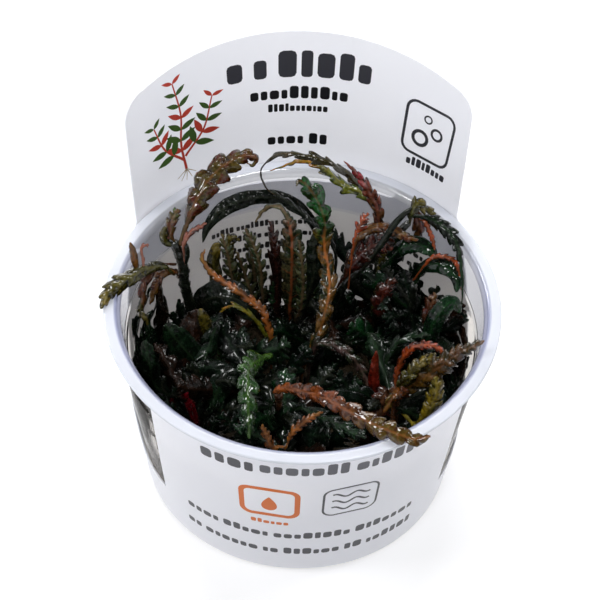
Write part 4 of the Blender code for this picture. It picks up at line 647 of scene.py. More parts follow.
def leaf_material(palette):
    """Wet blade: colour from foot to tip, patches, painted shade in valleys, creases and bump hollows, paler
    veins and fine blisters.
    """
    name = "blade_" + palette.replace(" ", "_")
    if name in bpy.data.materials:
        return bpy.data.materials[name]
    tree = new_material(name)
    foot, middle, tip, vein, patch = (rgb(*colour) for colour in PALETTES[palette])
    marks = tree.add("Attribute", {}, attribute_name="marks").outputs
    along, veins, edge = tree.add("SeparateColor", {"Color": marks["Color"]}).outputs
    fine = tree.noise(1100.0)
    middle_place, tip_place, drift = COLOUR_PLACES.get(palette, USUAL_PLACES)
    shift = tree.carry(tree.noise(150.0), 0.3, 0.7, -drift, drift)
    ramp = tree.add("ValToRGB", {"Fac": tree.math("ADD", along, shift)})
    stops = ramp.color_ramp.elements
    stops[0].color = foot
    stops[1].color = tip
    stops[0].position = 0.05
    stops[1].position = tip_place
    stops.new(middle_place).color = middle
    colour = tree.mix(tree.carry(tree.noise(300.0), 0.48, 0.6, 0.0, 0.9), ramp.outputs["Color"], patch)
    # Near-black colour of the painted shade.
    deep = darker([one + other for one, other in zip(foot, patch)], 0.1)
    # Darker where the fine bump noise is low: partly random mottling, partly painted shade in the bump's
    # hollows.
    colour = tree.mix(tree.carry(fine, 0.38, 0.62, 0.65, 0.0), colour, deep)
    colour = tree.mix(tree.carry(edge, 0.7, 1.0, 0.0, 0.4), colour, patch)
    # Painted shade in the relief's valleys and in the creases between lobes, from the marks' fourth channel.
    colour = tree.mix(tree.carry(marks["Alpha"], 0.25, 0.55, 0.85, 0.0), colour, deep)
    shown = tree.carry(veins, 0.2, 0.9, 0.0, STRONG_VEINS.get(palette, VEIN_SHARE))
    if palette == MIDRIB_PALETTE:
        shown = tree.math("MULTIPLY", shown, tree.carry(along, 0.3, 0.5, 0.25, 1.0))
        shown = tree.math("MULTIPLY", shown, tree.carry(along, 0.6, 0.68, 1.0, 0.15))
    tree.put({
        "Base Color": tree.mix(shown, colour, vein),
        "Roughness": tree.carry(fine, 0.3, 0.7, 0.16, 0.32),
        "Normal": tree.bump(fine, 0.2, 0.0003),
        "IOR": 1.4, "Specular IOR Level": 0.2, "Coat IOR": 1.44, "Coat Roughness": 0.035,
        "Coat Weight": 0.35 if palette in LOW_PALETTES else 1.0,
    })
    return tree.owner


def stem_material(colour):
    """Wet stem with streaks along it."""
    tree = new_material("stem_" + colour.replace(" ", "_"))
    low, high = (rgb(*shade) for shade in STEM_COLOURS[colour])
    streaks = tree.noise(500.0, 4.0)
    tree.put({
        "Base Color": tree.mix(tree.carry(streaks, 0.35, 0.65), low, high),
        "Roughness": tree.carry(streaks, 0.3, 0.7, 0.15, 0.32),
        "Normal": tree.bump(streaks, 0.35, 0.0003),
        "Coat Weight": 0.9, "Coat Roughness": 0.05,
    })
    return tree.owner


def scuff_plastic(tree, waves, smooth, worn):
    """Faint waves and fine scuffs of moulded plastic, from a smooth to a worn roughness."""
    tree.put({"Roughness": tree.carry(tree.noise(1400.0, 4.0), 0.4, 0.8, smooth, worn),
              "Normal": tree.bump(waves, 0.1, 0.0006)})


def clear_material(name, colour, transmission, smooth, worn, bending):
    """Clear moulded plastic or gel, bending light by its IOR."""
    tree = new_material(name)
    waves = tree.noise(60.0, 2.0)
    scuff_plastic(tree, waves, smooth, worn)
    tree.put({"Base Color": tree.mix(tree.carry(waves, 0.3, 0.7), colour, darker(colour, 0.96)),
              "Transmission Weight": transmission, "IOR": bending})
    return tree.owner


def milky_material():
    """Milky moulded plastic, more see-through at the mouth than on the flange, with lavender painted shade on
    the mouth in front and painted light on its rear.
    """
    tree = new_material("milky_plastic")
    place = tree.add("TexCoord", {}).outputs["Object"]
    flat = tree.add("VectorMath", {0: place, 1: (1.0, 1.0, 0.0)}, operation="MULTIPLY")
    radius = tree.add("VectorMath", {0: flat.outputs["Vector"]}, operation="LENGTH").outputs["Value"]
    inward = tree.carry(radius, 0.0455, 0.0471)
    outward = tree.carry(radius, 0.0470, 0.0475)
    rear = tree.carry(tree.add("SeparateXYZ", {"Vector": place}).outputs["Y"], 0.0, 0.03)
    # Painted shade inside the mouth and on its lip in front, painted light on the mouth's rear.
    mouth = tree.mix(rear, tree.mix(inward, PAINTED_SHADE_MOUTH_COLOUR, PAINTED_SHADE_LIP_COLOUR), PAINTED_LIGHT_REAR_COLOUR)
    scuff_plastic(tree, tree.noise(60.0, 2.0), 0.12, 0.24)
    tree.put({"Base Color": tree.mix(outward, mouth, FLANGE_COLOUR),
              "Transmission Weight": tree.carry(outward, 0.0, 1.0, 0.5, 0.25), "IOR": 1.46})
    return tree.owner


def print_material(name, colour, spread, glow):
    """Printed or bare surface of the satin sheet, with a faint grain, and light that comes through it."""
    tree = new_material(name)
    colour = rgb(*colour)
    grain = tree.noise(2600.0, 2.0)
    cloud = tree.carry(tree.noise(26.0, 2.0), 0.35, 0.65)
    tree.put({
        "Base Color": tree.mix(cloud, colour, darker(colour, 1.0 - spread)),
        "Roughness": tree.carry(grain, 0.3, 0.7, 0.30, 0.42),
        "Normal": tree.bump(grain, 0.06, 0.0002),
        "Specular IOR Level": 0.3,
        "Subsurface Weight": glow, "Subsurface Scale": 0.002, "Subsurface Radius": (1.0, 1.0, 1.0),
    })
    return tree.owner


# Meshes

def finish_object(mesh, replaced):
    """Put a mesh in the scene in place of a node of the model."""
    piece = add_object(mesh.name, mesh)
    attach(piece, "root")
    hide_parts(replaced)


class Gathered:
    """Points, four-sided faces, marks and finishes of many shapes, joined in one mesh."""

    def __init__(self):
        self.parts = []
        self.count = 0

    def add(self, points, faces, marks, finish):
        """Add one shape, all of it in one finish."""
        self.parts.append((points, faces + self.count, marks, np.full(len(faces), finish)))
        self.count += len(points)

    def mesh(self, name, materials):
        """All shapes in one smooth mesh."""
        points, faces, marks, finishes = (np.concatenate(part) for part in zip(*self.parts))
        mesh = bpy.data.meshes.new(name)
        mesh.from_pydata((points * MM).tolist(), [], faces.tolist())
        attribute = mesh.attributes.new("marks", "FLOAT_COLOR", "POINT")
        attribute.data.foreach_set("color", marks.astype(np.float32).ravel())
        for shade in materials:
            mesh.materials.append(shade)
        mesh.polygons.foreach_set("material_index", finishes.astype(np.int32))
        mesh.shade_smooth()
        return mesh


def smooth_points(route, shares):
    """Places on the smooth curve through the route's points; a share under 0 runs on before its start."""
    ends = np.vstack((2 * route[0] - route[1], route, 2 * route[-1] - route[-2]))
    place = np.minimum(shares, 1.0) * (len(route) - 1)
    span = np.clip(place.astype(int), 0, len(route) - 2)
    part = (place - span)[:, None]
    before, start, end, after = ends[span], ends[span + 1], ends[span + 2], ends[span + 3]
    return 0.5 * (
        2 * start
        + (end - before) * part
        + (2 * before - 5 * start + 4 * end - after) * part ** 2
        + (3 * start - before - 3 * end + after) * part ** 3
    )


def unit(vectors):
    """Vectors at length 1."""
    return vectors / np.maximum(np.linalg.norm(vectors, axis=-1, keepdims=True), 1e-9)


def follow(route, share):
    """Places and directions on the smooth curve through a route."""
    way = unit(smooth_points(route, share + 0.01) - smooth_points(route, share - 0.01))
    return smooth_points(route, share), way


def route_length(route):
    """Length of the straight runs between a route's points."""
    return float(np.linalg.norm(np.diff(route, axis=0), axis=1).sum())


def even_sides(across, way):
    """Sideways directions with no sudden flip, smoothed along the route and kept square to it."""
    for number in range(1, len(across)):
        if across[number] @ across[number - 1] < 0:
            across[number] = -across[number]
    window = max(3, len(across) // 12)
    padded = np.pad(across, ((window, window), (0, 0)), mode="edge")
    kernel = np.hanning(2 * window + 1) / np.hanning(2 * window + 1).sum()
    smooth = np.stack([np.convolve(padded[:, axis], kernel, mode="valid") for axis in range(3)], axis=1)
    return unit(smooth - way * (smooth * way).sum(axis=1, keepdims=True))


def ripple(rng, along, across, size, stretch=1.0):
    """Uneven relief of a few crossing waves, about size millimetres from crest to crest across the blade."""
    total = np.zeros_like(along)
    for _ in range(RIPPLE_WAVES):
        turn = rng.uniform(0, math.pi)
        pitch = 2 * math.pi / (size * rng.uniform(0.7, 1.5))
        reach = along * math.cos(turn) / stretch + across * math.sin(turn)
        total += np.sin(pitch * reach + rng.uniform(0, 6.28))
    return total / RIPPLE_WAVES ** 0.5


def blade_width(share):
    """Half width of a blade along its midrib, as a share of its greatest half width."""
    along = np.clip((share - STALK_END) / (1.0 - STALK_END), 0.0, 1.0)
    swelling = np.maximum(np.sin(math.pi * along ** 0.8), 0.0) ** 0.55
    return np.maximum(swelling, np.where(share < 0.5, STALK_WIDTH, TIP_WIDTH))


def along_blade(value, along):
    """Plain value, or one that changes along a blade, as pairs of a share of the length and a value."""
    return np.interp(along, *zip(*value)) if isinstance(value, list) else value


def quads(*corners):
    """Four-sided faces from four grids of point numbers."""
    return np.stack(corners, axis=-1).reshape(-1, 4)


def blade_faces(rows, columns):
    """Faces of a closed blade: an upper grid, a lower grid and the strip that joins their edges."""
    top = np.arange(rows * columns).reshape(rows, columns)
    low = top + rows * columns
    return np.concatenate((
        quads(top[:-1, :-1], top[:-1, 1:], top[1:, 1:], top[1:, :-1]),
        quads(low[:-1, :-1], low[1:, :-1], low[1:, 1:], low[:-1, 1:]),
        quads(top[:-1, -1], low[:-1, -1], low[1:, -1], top[1:, -1]),
        quads(top[1:, 0], low[1:, 0], low[:-1, 0], top[:-1, 0]),
        quads(top[0, :-1], low[0, :-1], low[0, 1:], top[0, 1:]),
        quads(top[-1, 1:], low[-1, 1:], low[-1, :-1], top[-1, :-1]),
    ))


def blade_frame(rng, blade, route, share):
    """Midrib of a blade with its directions along, across and up from it."""
    middle, way = follow(route, share)
    if "across" in blade:
        hint = np.array(blade["across"], float)
        across = unit(hint - way * (way @ hint)[:, None])
    else:
        across = unit(np.cross(way, TO_VIEWER))
    across = even_sides(across, way)
    upward = np.cross(across, way)
    twist = math.radians(rng.uniform(-1, 1) * blade["twist"]) * np.sin(math.pi * share * 1.3)[:, None]
    turned_across = across * np.cos(twist) + upward * np.sin(twist)
    return middle, way, turned_across, upward * np.cos(twist) - across * np.sin(twist)


def add_blade(gathered, blade, seed, finish, coarse=1.0):
    """Lobed, blistered blade along a route, added to a mesh."""
    rng = np.random.default_rng(seed)
    route = np.array(blade["route"], float)
    length = route_length(route)
    rows = int(min(max(length / (ROW_SPACING * coarse), 22), 200))
    columns = int(min(max(blade["width"] / (COLUMN_SPACING * coarse), 8), 24)) // 2 * 2 + 1
    share = np.linspace(-ROOT_LENGTH / length, 1.0, rows)
    middle, way, across, upward = blade_frame(rng, blade, route, share)
    side = np.linspace(-1.0, 1.0, columns)
    side = np.sign(side) * np.abs(side) ** 1.1
    along, sideways = np.meshgrid(share, side, indexing="ij")
    away = np.abs(sideways)
    hand = (sideways > 0).astype(int)
    in_stalk = along < STALK_END

    lobes = blade["lobes"]
    step = LOBES_SPAN / lobes
    jitter = rng.uniform(-0.22, 0.22, (2, lobes + 3))
    growth = rng.uniform(0.68, 1.12, (2, lobes + 3))
    curls = rng.uniform(-1.0, 0.5, (2, lobes + 3))
    phase = (along - LOBES_START) / step + np.where(sideways > 0, rng.uniform(0.3, 0.6), 0.0)
    phase = phase + 0.14 * np.sin(phase * 1.7 + rng.uniform(0, 6))
    which = np.clip(np.floor(phase).astype(int), 0, lobes + 2)
    fraction = phase - np.floor(phase)
    crest = np.clip((np.sin(math.pi * fraction) - blade["gap"]) / (1 - blade["gap"]), 0.0, 1.0)
    crest = crest ** blade["square"]
    notch = along_blade(blade["notch"], along)
    reach = notch + (1 - notch) * crest * growth[hand, which]
    reach = reach * (1.0 + blade["teeth"] * np.sin(2 * math.pi * phase * 4 + 3 * hand))
    envelope = blade_width(along) * along_blade(blade["swell"], along)
    half = blade["width"] / 2 * envelope * np.where(in_stalk, 1.0, reach)
    distance = sideways * half
    full = np.minimum(envelope, 1.0)
    ahead = (blade["sweep"] + jitter[hand, which]) * step * length * crest * away ** 1.2 * full

    run = along * length
    scale = np.minimum(half / 1.4, 1.0)
    domes = (np.sin(math.pi * fraction) * np.sin(math.pi * (0.12 + 0.88 * away))) ** 0.7
    inner = np.clip(3 * away, 0, 1)
    relief = blade["blister"] * (domes - 0.4 + 0.3 * ripple(rng, run, distance, 2.1) * inner)
    relief += blade["fold"] * ripple(rng, run, distance, 1.5, 3.0) * inner
    lift = relief * scale
    lift += blade["rib"] * np.exp(-(distance / 0.4) ** 2) * np.where(in_stalk, 0.0, 1.0)
    lift += blade["wave"] * scale * away ** 2 * np.sin(math.pi * phase * 0.9 + 2.2 * hand + rng.uniform(0, 6))
    lift += blade["curl"] * curls[hand, which] * crest * away ** 3 * full * min(blade["width"] / 6, 1.2)
    lift -= blade["arch"] * half * away ** 2 * 1.2
    lift += 0.15 * scale * ripple(rng, run, distance, 4.0)
    points = middle[:, None, :]
    for direction, size in ((across, distance), (way, ahead), (upward, lift)):
        points = points + direction[:, None, :] * size[..., None]
    points = keep_inside(points, middle)

    normal = unit(np.cross(np.gradient(points, axis=1), np.gradient(points, axis=0)))
    body = LEAF_THICKNESS * (1.0 - 0.6 * np.clip(along, 0, 1)) * (1.0 - 0.65 * away ** 2)
    stalk = STALK_THICKNESS * np.sqrt(np.clip(1.0 - 0.85 * away ** 2, 0, 1))
    leafy = np.clip((along - 0.02) / STALK_END, 0.0, 1.0)
    thick = normal * (stalk * (1 - leafy) + body * leafy)[..., None] / 2
    points = np.concatenate(((points + thick).reshape(-1, 3), (points - thick).reshape(-1, 3)))
    spacing = step * length
    veins = 0.7 * np.exp(-(((fraction - 0.5) * spacing) / 0.24) ** 2) * (1 - away) ** 0.4
    crease_shade = np.exp(-(np.minimum(fraction, 1 - fraction) * spacing / 0.3) ** 2)
    crease_shade = crease_shade * inner * (blade["blister"] > 0.1)
    # Fourth mark: painted shade, darker in the relief's valleys and in the creases between lobes, with a
    # little random tone.
    depth = 0.55 + 0.8 * relief - 0.35 * crease_shade + 0.1 * rng.standard_normal(relief.shape)
    marks = np.stack((along, np.exp(-(distance / 0.34) ** 2) + veins, away ** 2, depth), axis=-1)
    marks = np.tile(marks.clip(0, 1).reshape(-1, 4), (2, 1))
    gathered.add(points, blade_faces(rows, columns), marks, finish)


def make_leaf(blade, number):
    """One leaf, in place of its solid."""
    gathered = Gathered()
    add_blade(gathered, blade, LEAF_SEED + number, 0)
    mesh = gathered.mesh(blade["name"] + "_blade", [leaf_material(blade["palette"])])
    finish_object(mesh, blade["name"])


def add_tube(gathered, route, radius, seed):
    """Round stem with slightly swollen joints, closed at both ends."""
    rng = np.random.default_rng(seed)
    length = route_length(route)
    rings = max(int(length / 0.6), 8)
    share = np.linspace(0.0, 1.0, rings)
    middle, way = follow(route, share)
    side = unit(np.cross(way, np.array((0.3, 1.0, 0.15))))
    other = np.cross(way, side)
    joints = 0.16 * np.exp(-((((share * length / 7.5) % 1.0) - 0.5) / 0.08) ** 2)
    size = radius * (1.0 - STEM_TAPER * share) * (1.0 + joints + 0.05 * rng.standard_normal(rings))
    size[0] *= 0.7
    size[-1] *= 0.6
    turn = np.linspace(0, 2 * math.pi, STEM_SIDES, endpoint=False)[None, :, None]
    circle = side[:, None, :] * np.cos(turn) + other[:, None, :] * np.sin(turn)
    points = (middle[:, None, :] + circle * size[:, None, None]).reshape(-1, 3)
    number = np.arange(rings * STEM_SIDES).reshape(rings, STEM_SIDES)
    following = np.roll(number, -1, axis=1)
    faces = [quads(number[:-1], following[:-1], following[1:], number[1:])]
    for ring, order in ((number[0], -1), (number[-1], 1)):
        for step in range(STEM_SIDES // 2 - 1):
            quad = ring[[step, step + 1, STEM_SIDES - 2 - step, STEM_SIDES - 1 - step]]
            faces.append(quad[None, ::order])
    marks = np.zeros((len(points), 4))
    marks[:, 0] = np.repeat(share, STEM_SIDES)
    gathered.add(points, np.concatenate(faces), marks, 0)


def inner_wall_radius(height):
    """Radius of the cup's inside at a height below the ledge."""
    share = np.minimum(height / LEDGE_HEIGHT, 1.0)
    return WALL_FOOT_RADIUS + (WALL_TOP_RADIUS - WALL_FOOT_RADIUS) * share - WALL_THICKNESS


def wall_place(turn, height, gap):
    """Place inside the cup at a turn from the front and a gap from the wall."""
    radius = inner_wall_radius(height) - gap
    return (radius * math.sin(turn), -radius * math.cos(turn), height)


def keep_inside(points, middle):
    """Points of a blade, pulled in from the cup's wall in the rows whose midrib is inside the cup."""
    held = (middle[:, 2] < CUP_HEIGHT - 1.0) & (np.hypot(middle[:, 0], middle[:, 1]) < MOUTH_RADIUS)
    radius = np.hypot(points[..., 0], points[..., 1])
    share = np.clip(((inner_wall_radius(points[..., 2]) - LEAF_TO_WALL) / radius), 0.0, 1.0)
    share = np.where(held[:, None] & (points[..., 2] < CUP_HEIGHT), share, 1.0)
    return points * np.stack((share, share, np.ones_like(share)), axis=-1)


def pick(rng, choices):
    """One of several choices."""
    return choices[int(rng.integers(len(choices)))]


def low_leaf(rng, start, turn, reach, climb, top):
    """Narrow lobed leaf that climbs from a stem, and turns up along the cup's wall where it meets it."""
    outward = np.array((math.sin(turn), -math.cos(turn), 0.0))
    inner = inner_wall_radius(start[2] + 0.5 * climb * reach) - WALL_CLEARANCE
    toward = float(start[:2] @ outward[:2])
    room = math.sqrt(max(toward ** 2 + inner ** 2 - float(start[:2] @ start[:2]), 0.0)) - toward
    spread = min(reach, max(room, 1.0))
    rise = climb * spread + (reach - spread) * 0.9
    rise = min(rise, max(top - start[2], 2.0))
    droop = rng.uniform(0.0, 0.35) * reach * float(reach <= room)
    route = [start]
    for out, height in ((0.35, rise * 0.3), (0.78, rise * 0.68), (1.0, rise - droop)):
        route.append(start + outward * spread * out + np.array((0.0, 0.0, height)))
    form = pick(rng, (LOBED, LOBED, SMOOTH, FINGERED, LOBED, TOOTHED))
    softer = {key: 0.5 * form[key] for key in ("blister", "curl")}
    return leaf(form, None, rng.uniform(*LOW_LEAF_WIDTH) * reach, int(rng.integers(4, 8)), route,
                fold=0.3 * form["fold"], arch=rng.uniform(0.1, 0.4), **softer)


def wall_leaf(rng, start, azimuth, top):
    """Broad leaf that lies against the cup's wall, from the foot of a stem up to a height."""
    route = [start]
    drift = rng.uniform(-0.12, 0.12)
    for share in (0.2, 0.45, 0.7, 1.0):
        height = start[2] + (top - start[2]) * share
        route.append(wall_place(azimuth + drift * share, height, rng.uniform(0.9, 2.0)))
    form = pick(rng, (LOBED, SMOOTH, WRINKLED))
    return leaf(form, None, rng.uniform(*WALL_LEAF_WIDTH), int(rng.integers(5, 9)), route, arch=-0.1,
                across=(math.cos(azimuth), math.sin(azimuth), 0.0))


def lying_leaf(rng, start, azimuth, height, hand):
    """Leaf that reaches the cup's wall low down and then runs along it, to one side."""
    route = [start]
    for turn, rise in ((0.0, 0.0), (0.22, 1.0), (0.48, 2.5), (0.8, 5.0)):
        route.append(wall_place(azimuth + hand * turn, height + rise, rng.uniform(1.0, 1.8)))
    form = pick(rng, (LOBED, SMOOTH))
    return leaf(form, None, rng.uniform(*LYING_LEAF_WIDTH), 6, route, blister=0.15, arch=-0.1,
                across=(0.0, 0.0, 1.0))


def add_wall_leaves(gathered, plant, stem, number, palettes):
    """Leaves side by side against the wall next to a plantlet, and leaves that lie along the wall."""
    rng = np.random.default_rng(900 + number)

    def foot(highest):
        return smooth_points(stem, np.array([rng.uniform(0.08, highest)]))[0]

    first, last, top = plant["wall"]
    count = round((last - first) / WALL_LEAF_PITCH)
    for step in range(count):
        azimuth = math.radians(first + (last - first) * (step + 0.5) / count)
        blade = wall_leaf(rng, foot(0.25), azimuth, top * rng.uniform(0.82, 1.0))
        finish = 1 + palettes.index(pick(rng, WALL_PALETTES))
        add_blade(gathered, blade, 3000 + 40 * number + step, finish, WALL_LEAF_COARSENESS)
    azimuth = math.atan2(stem[0][0], -stem[0][1])
    height = LYING_LEAF_FOOT
    while height < top - LYING_LEAF_PITCH:
        for hand in (1, -1):
            blade = lying_leaf(rng, foot(0.2), azimuth + hand * rng.uniform(0.0, 0.1), height, hand)
            finish = 1 + palettes.index(pick(rng, WALL_PALETTES))
            seed = 4000 + 40 * number + int(height) * 2 + hand
            add_blade(gathered, blade, seed, finish, LYING_LEAF_COARSENESS)
        height += LYING_LEAF_PITCH


def add_low_leaves(gathered, plant, stems, number, palettes):
    """Low leaves round a plantlet's stems, then longer and more upright ones among them."""
    rng = np.random.default_rng(500 + number)
    step = 0
    for gap, stretch, climbs, lowest, names in (
        (LOW_LEAF_GAP, 1.0, (0.25, 1.1), LOW_LEAF_START, LOW_PALETTES),
        (HIGH_LEAF_GAP, 1.5, (0.9, 2.0), HIGH_LEAF_START, HIGH_PALETTES),
    ):
        height = lowest
        while height < plant["top"]:
            near = [stem for stem in stems if stem[0][2] <= height + STEM_FOOT_MARGIN]
            places = smooth_points(near[step % len(near)], np.linspace(0, 1, 101))
            start = places[np.argmin(np.abs(places[:, 2] - height))]
            turn = math.radians(plant["turn"] + step * LOW_LEAF_TURN)
            reach = plant["reach"] * stretch * rng.uniform(0.85, 1.1)
            blade = low_leaf(rng, start, turn, reach, rng.uniform(*climbs), plant["highest"])
            finish = 1 + palettes.index(pick(rng, names))
            add_blade(gathered, blade, 1000 + 80 * number + step, finish, LOW_LEAF_COARSENESS)
            height += gap
            step += 1


def make_plantlet(plant, number):
    """Stem with its side shoot and many small dark leaves, in place of its solid."""
    gathered = Gathered()
    stems = [np.array(plant["route"], float)]
    stems[0][0][2] = STEM_FOOT
    add_tube(gathered, stems[0], plant["radius"], 700 + number)
    if plant["shoot"]:
        stems.append(np.array(plant["shoot"], float))
        add_tube(gathered, stems[1], SHOOT_RADIUS, 800 + number)
    extras = EXTRA_LEAVES.get(plant["name"], [])
    own = tuple(blade["palette"] for blade in extras)
    palettes = list(dict.fromkeys(LOW_PALETTES + HIGH_PALETTES + WALL_PALETTES + own))
    add_low_leaves(gathered, plant, stems, number, palettes)
    if plant["wall"]:
        add_wall_leaves(gathered, plant, stems[0], number, palettes)
    for place, blade in enumerate(extras):
        add_blade(gathered, blade, 2000 + 40 * number + place, 1 + palettes.index(blade["palette"]))
    shades = [stem_material(plant["colour"])] + [leaf_material(palette) for palette in palettes]
    mesh = gathered.mesh(plant["name"] + "_growth", shades)
    finish_object(mesh, plant["name"])


# Cup and gel

def rounded_profile(corners):
    """Profile of (radius, height) points in which each corner has a rounding in millimetres."""
    profile = []
    for number, (radius, height, rounding) in enumerate(corners):
        place = np.array((radius, height))
        if rounding == 0:
            profile.append(place)
            continue
        before = np.array(corners[number - 1][:2]) - place
        after = np.array(corners[number + 1][:2]) - place
        start = place + before / np.linalg.norm(before) * rounding
        end = place + after / np.linalg.norm(after) * rounding
        for share in np.linspace(0, 1, 5):
            profile.append(start * (1 - share) ** 2 + 2 * place * share * (1 - share) + end * share ** 2)
    return profile


def turned(name, profile, steps):
    """Mesh turned about Z from a profile that starts and ends on the axis."""
    shape = bmesh.new()
    rings = []
    for radius, height in profile:
        turns = [2 * math.pi * step / steps for step in range(steps if radius > 0.01 else 1)]
        places = [(radius * math.cos(turn) * MM, radius * math.sin(turn) * MM, height * MM) for turn in turns]
        rings.append([shape.verts.new(place) for place in places])
    for ring, following in zip(rings, rings[1:]):
        for step in range(steps):
            after = (step + 1) % steps
            corners = [ring[step % len(ring)], ring[after % len(ring)],
                       following[after % len(following)], following[step % len(following)]]
            shape.faces.new(list(dict.fromkeys(corners)))
    bmesh.ops.recalc_face_normals(shape, faces=shape.faces)
    mesh = bpy.data.meshes.new(name)
    shape.to_mesh(mesh)
    shape.free()
    mesh.shade_smooth()
    mesh.set_sharp_from_angle(angle=math.radians(50))
    return mesh


def make_cup():
    """Clear cup with a clear collar and a milky flange, in place of its solid."""
    collar = MOUTH_RADIUS + COLLAR_THICKNESS
    ledge = inner_wall_radius(LEDGE_HEIGHT)
    foot = CUP_HEIGHT - FLANGE_THICKNESS
    mesh = turned("clear_cup_moulding", rounded_profile([
        (0.0, FLOOR_THICKNESS, 0),
        (inner_wall_radius(FLOOR_THICKNESS), FLOOR_THICKNESS, 1.4),
        (ledge - LEDGE_WIDTH, LEDGE_HEIGHT - 0.5, 0.3),
        (ledge, LEDGE_HEIGHT, 0.2),
        (MOUTH_RADIUS - COLLAR_LEAN, LEDGE_HEIGHT + 0.4, 0.3),
        (MOUTH_RADIUS + COLLAR_LEAN, CUP_HEIGHT, 1.9),
        (FLANGE_RADIUS, CUP_HEIGHT, 0.35),
        (FLANGE_RADIUS, foot, 0.3),
        (collar + COLLAR_LEAN, foot, 0.5),
        (collar - COLLAR_LEAN + 0.2, LEDGE_HEIGHT + COLLAR_STEP, 0.4),
        (WALL_TOP_RADIUS, LEDGE_HEIGHT - 0.5, 0.4),
        (WALL_FOOT_RADIUS, 0.0, 0.8),
        (0.0, 0.0, 0),
    ]), TURN_STEPS)
    for shade in (
        # The clear wall's grey-brown tint is painted shade: it darkens the sheet and leaves seen through the
        # wall.
        clear_material("clear_plastic", (0.70, 0.67, 0.63, 1.0), 0.98, 0.02, 0.05, 1.035),
        clear_material("collar_plastic", (0.56, 0.56, 0.58, 1.0), 0.97, 0.02, 0.05, 1.06),
        milky_material(),
    ):
        mesh.materials.append(shade)
    for face in mesh.polygons:
        height = face.center.z / MM
        face.material_index = int(height > LEDGE_HEIGHT + COLLAR_STEP) + int(height > foot - MILKY_COLLAR)
    finish_object(mesh, "clear_cup")


def make_gel():
    """Nutrient gel that creeps up a little at the wall, in place of its solid. Its dark brown is partly the
    gel's tint and partly painted shade of the crowded cup's floor.
    """
    edge = inner_wall_radius(GEL_TOP) - GAP
    profile = [(0.0, GEL_TOP - GEL_CREEP)]
    for share in np.linspace(0.1, 1.0, 14):
        profile.append((edge * share, GEL_TOP - GEL_CREEP * (1 - share ** 8)))
    profile += [
        (inner_wall_radius(GEL_FOOT + GEL_CORNER) - GAP, GEL_FOOT + GEL_CORNER),
        (inner_wall_radius(GEL_FOOT) - GAP - GEL_CORNER, GEL_FOOT),
        (0.0, GEL_FOOT),
    ]
    mesh = turned("nutrient_gel_jelly", profile, TURN_STEPS // 2)
    # Dark brown: the gel's tint, darkened as painted shade.
    mesh.materials.append(clear_material("gel", (0.06, 0.045, 0.028, 1.0), 0.4, 0.08, 0.18, 1.35))
    finish_object(mesh, "nutrient_gel")


# Printed sheet

def blend(low, high, value):
    """Ease from 0 at low to 1 at high."""
    share = min(max((value - low) / (high - low), 0.0), 1.0)
    return share * share * (3 - 2 * share)


def sheet_radius(angle, height):
    """Radius of the sheet's outer face at an angle in degrees from the front."""
    share = blend(*FLARE_CHANGE, abs(angle) if abs(angle) <= 180 else 360 - abs(angle))
    foot = FRONT_RADIUS + (BACK_RADIUS - FRONT_RADIUS) * share
    return foot + (FRONT_FLARE + (BACK_FLARE - FRONT_FLARE) * share) * height


def bend_sheet(angle, height, depth):
    """Bend a flat place on to the cup, depth millimetres in from the outer face."""
    if angle > 180.0 + SEAM_ANGLE:
        angle -= 360.0
    radius = sheet_radius(angle, height) - depth
    turn = math.radians(angle + SHEET_TURN)
    return (radius * math.sin(turn) * MM, -radius * math.cos(turn) * MM, height * MM)


def sheet_outline():
    """Flat outline of the die-cut sheet, as (angle, height) pairs, from the seam once round."""
    right = [(BAND_FLAT_END, BAND_TOP)]
    rise_end = 180.0 - TAG_ANGLE
    for share in np.linspace(0, 1, 25)[1:]:
        right.append((BAND_FLAT_END + (rise_end - BAND_FLAT_END) * share,
                      BAND_TOP + (TAG_NECK - BAND_TOP) * share ** RISE_POWER))
    right.append((180.0 - TAG_ANGLE_HIGH, TAG_SHOULDER))
    for turn in np.linspace(0, math.pi / 2, 13)[1:]:
        right.append((180.0 - TAG_ANGLE_HIGH + (TAG_ANGLE_HIGH - TAG_CORNER_ANGLE) * (1 - math.cos(turn)),
                      TAG_SHOULDER + (TAG_CORNER - TAG_SHOULDER) * math.sin(turn)))
    for share in np.linspace(0, 1, 25)[1:]:
        right.append((180.0 - TAG_CORNER_ANGLE * (1 - share),
                      TAG_TOP - (TAG_TOP - TAG_CORNER) * (1 - share) ** 2))
    left = [(360.0 - angle, height) for angle, height in reversed(right[:-1])]
    front = [(360.0 - PANEL_ANGLE_FOOT, BAND_TOP), (360.0 - PANEL_ANGLE_TOP, SHEET_TOP - PANEL_CORNER)]
    for share in np.linspace(0, 1, 6)[1:]:
        front.append((360.0 - PANEL_ANGLE_TOP + PANEL_CORNER * (1 - math.cos(share * math.pi / 2)),
                      SHEET_TOP - PANEL_CORNER * (1 - math.sin(share * math.pi / 2))))
    front += [(720.0 - angle, height) for angle, height in reversed(front)]
    end = 360.0 + SEAM_ANGLE - math.degrees(SEAM_GAP / FRONT_RADIUS)
    rise = [place for place in right if place[0] > SEAM_ANGLE]
    first = right[4][1]
    return ([(SEAM_ANGLE, SHEET_FOOT), (SEAM_ANGLE, first)] + rise + left + front
            + [(360.0 + BAND_FLAT_END, BAND_TOP), (end, first), (end, SHEET_FOOT)])


def slot_outline():
    """Round-ended slot through which the rim's back shows."""
    radius = (SLOT_TOP - SLOT_FOOT) / 2
    radius_angle = math.degrees(radius / sheet_radius(180.0, SLOT_TOP))
    outline = []
    for end in (1, -1):
        for turn in np.linspace(-math.pi / 2, math.pi / 2, 13):
            across = SLOT_ANGLE - radius_angle + radius_angle * math.cos(turn)
            outline.append((180.0 + end * across, SLOT_FOOT + radius + end * radius * math.sin(turn)))
    return outline


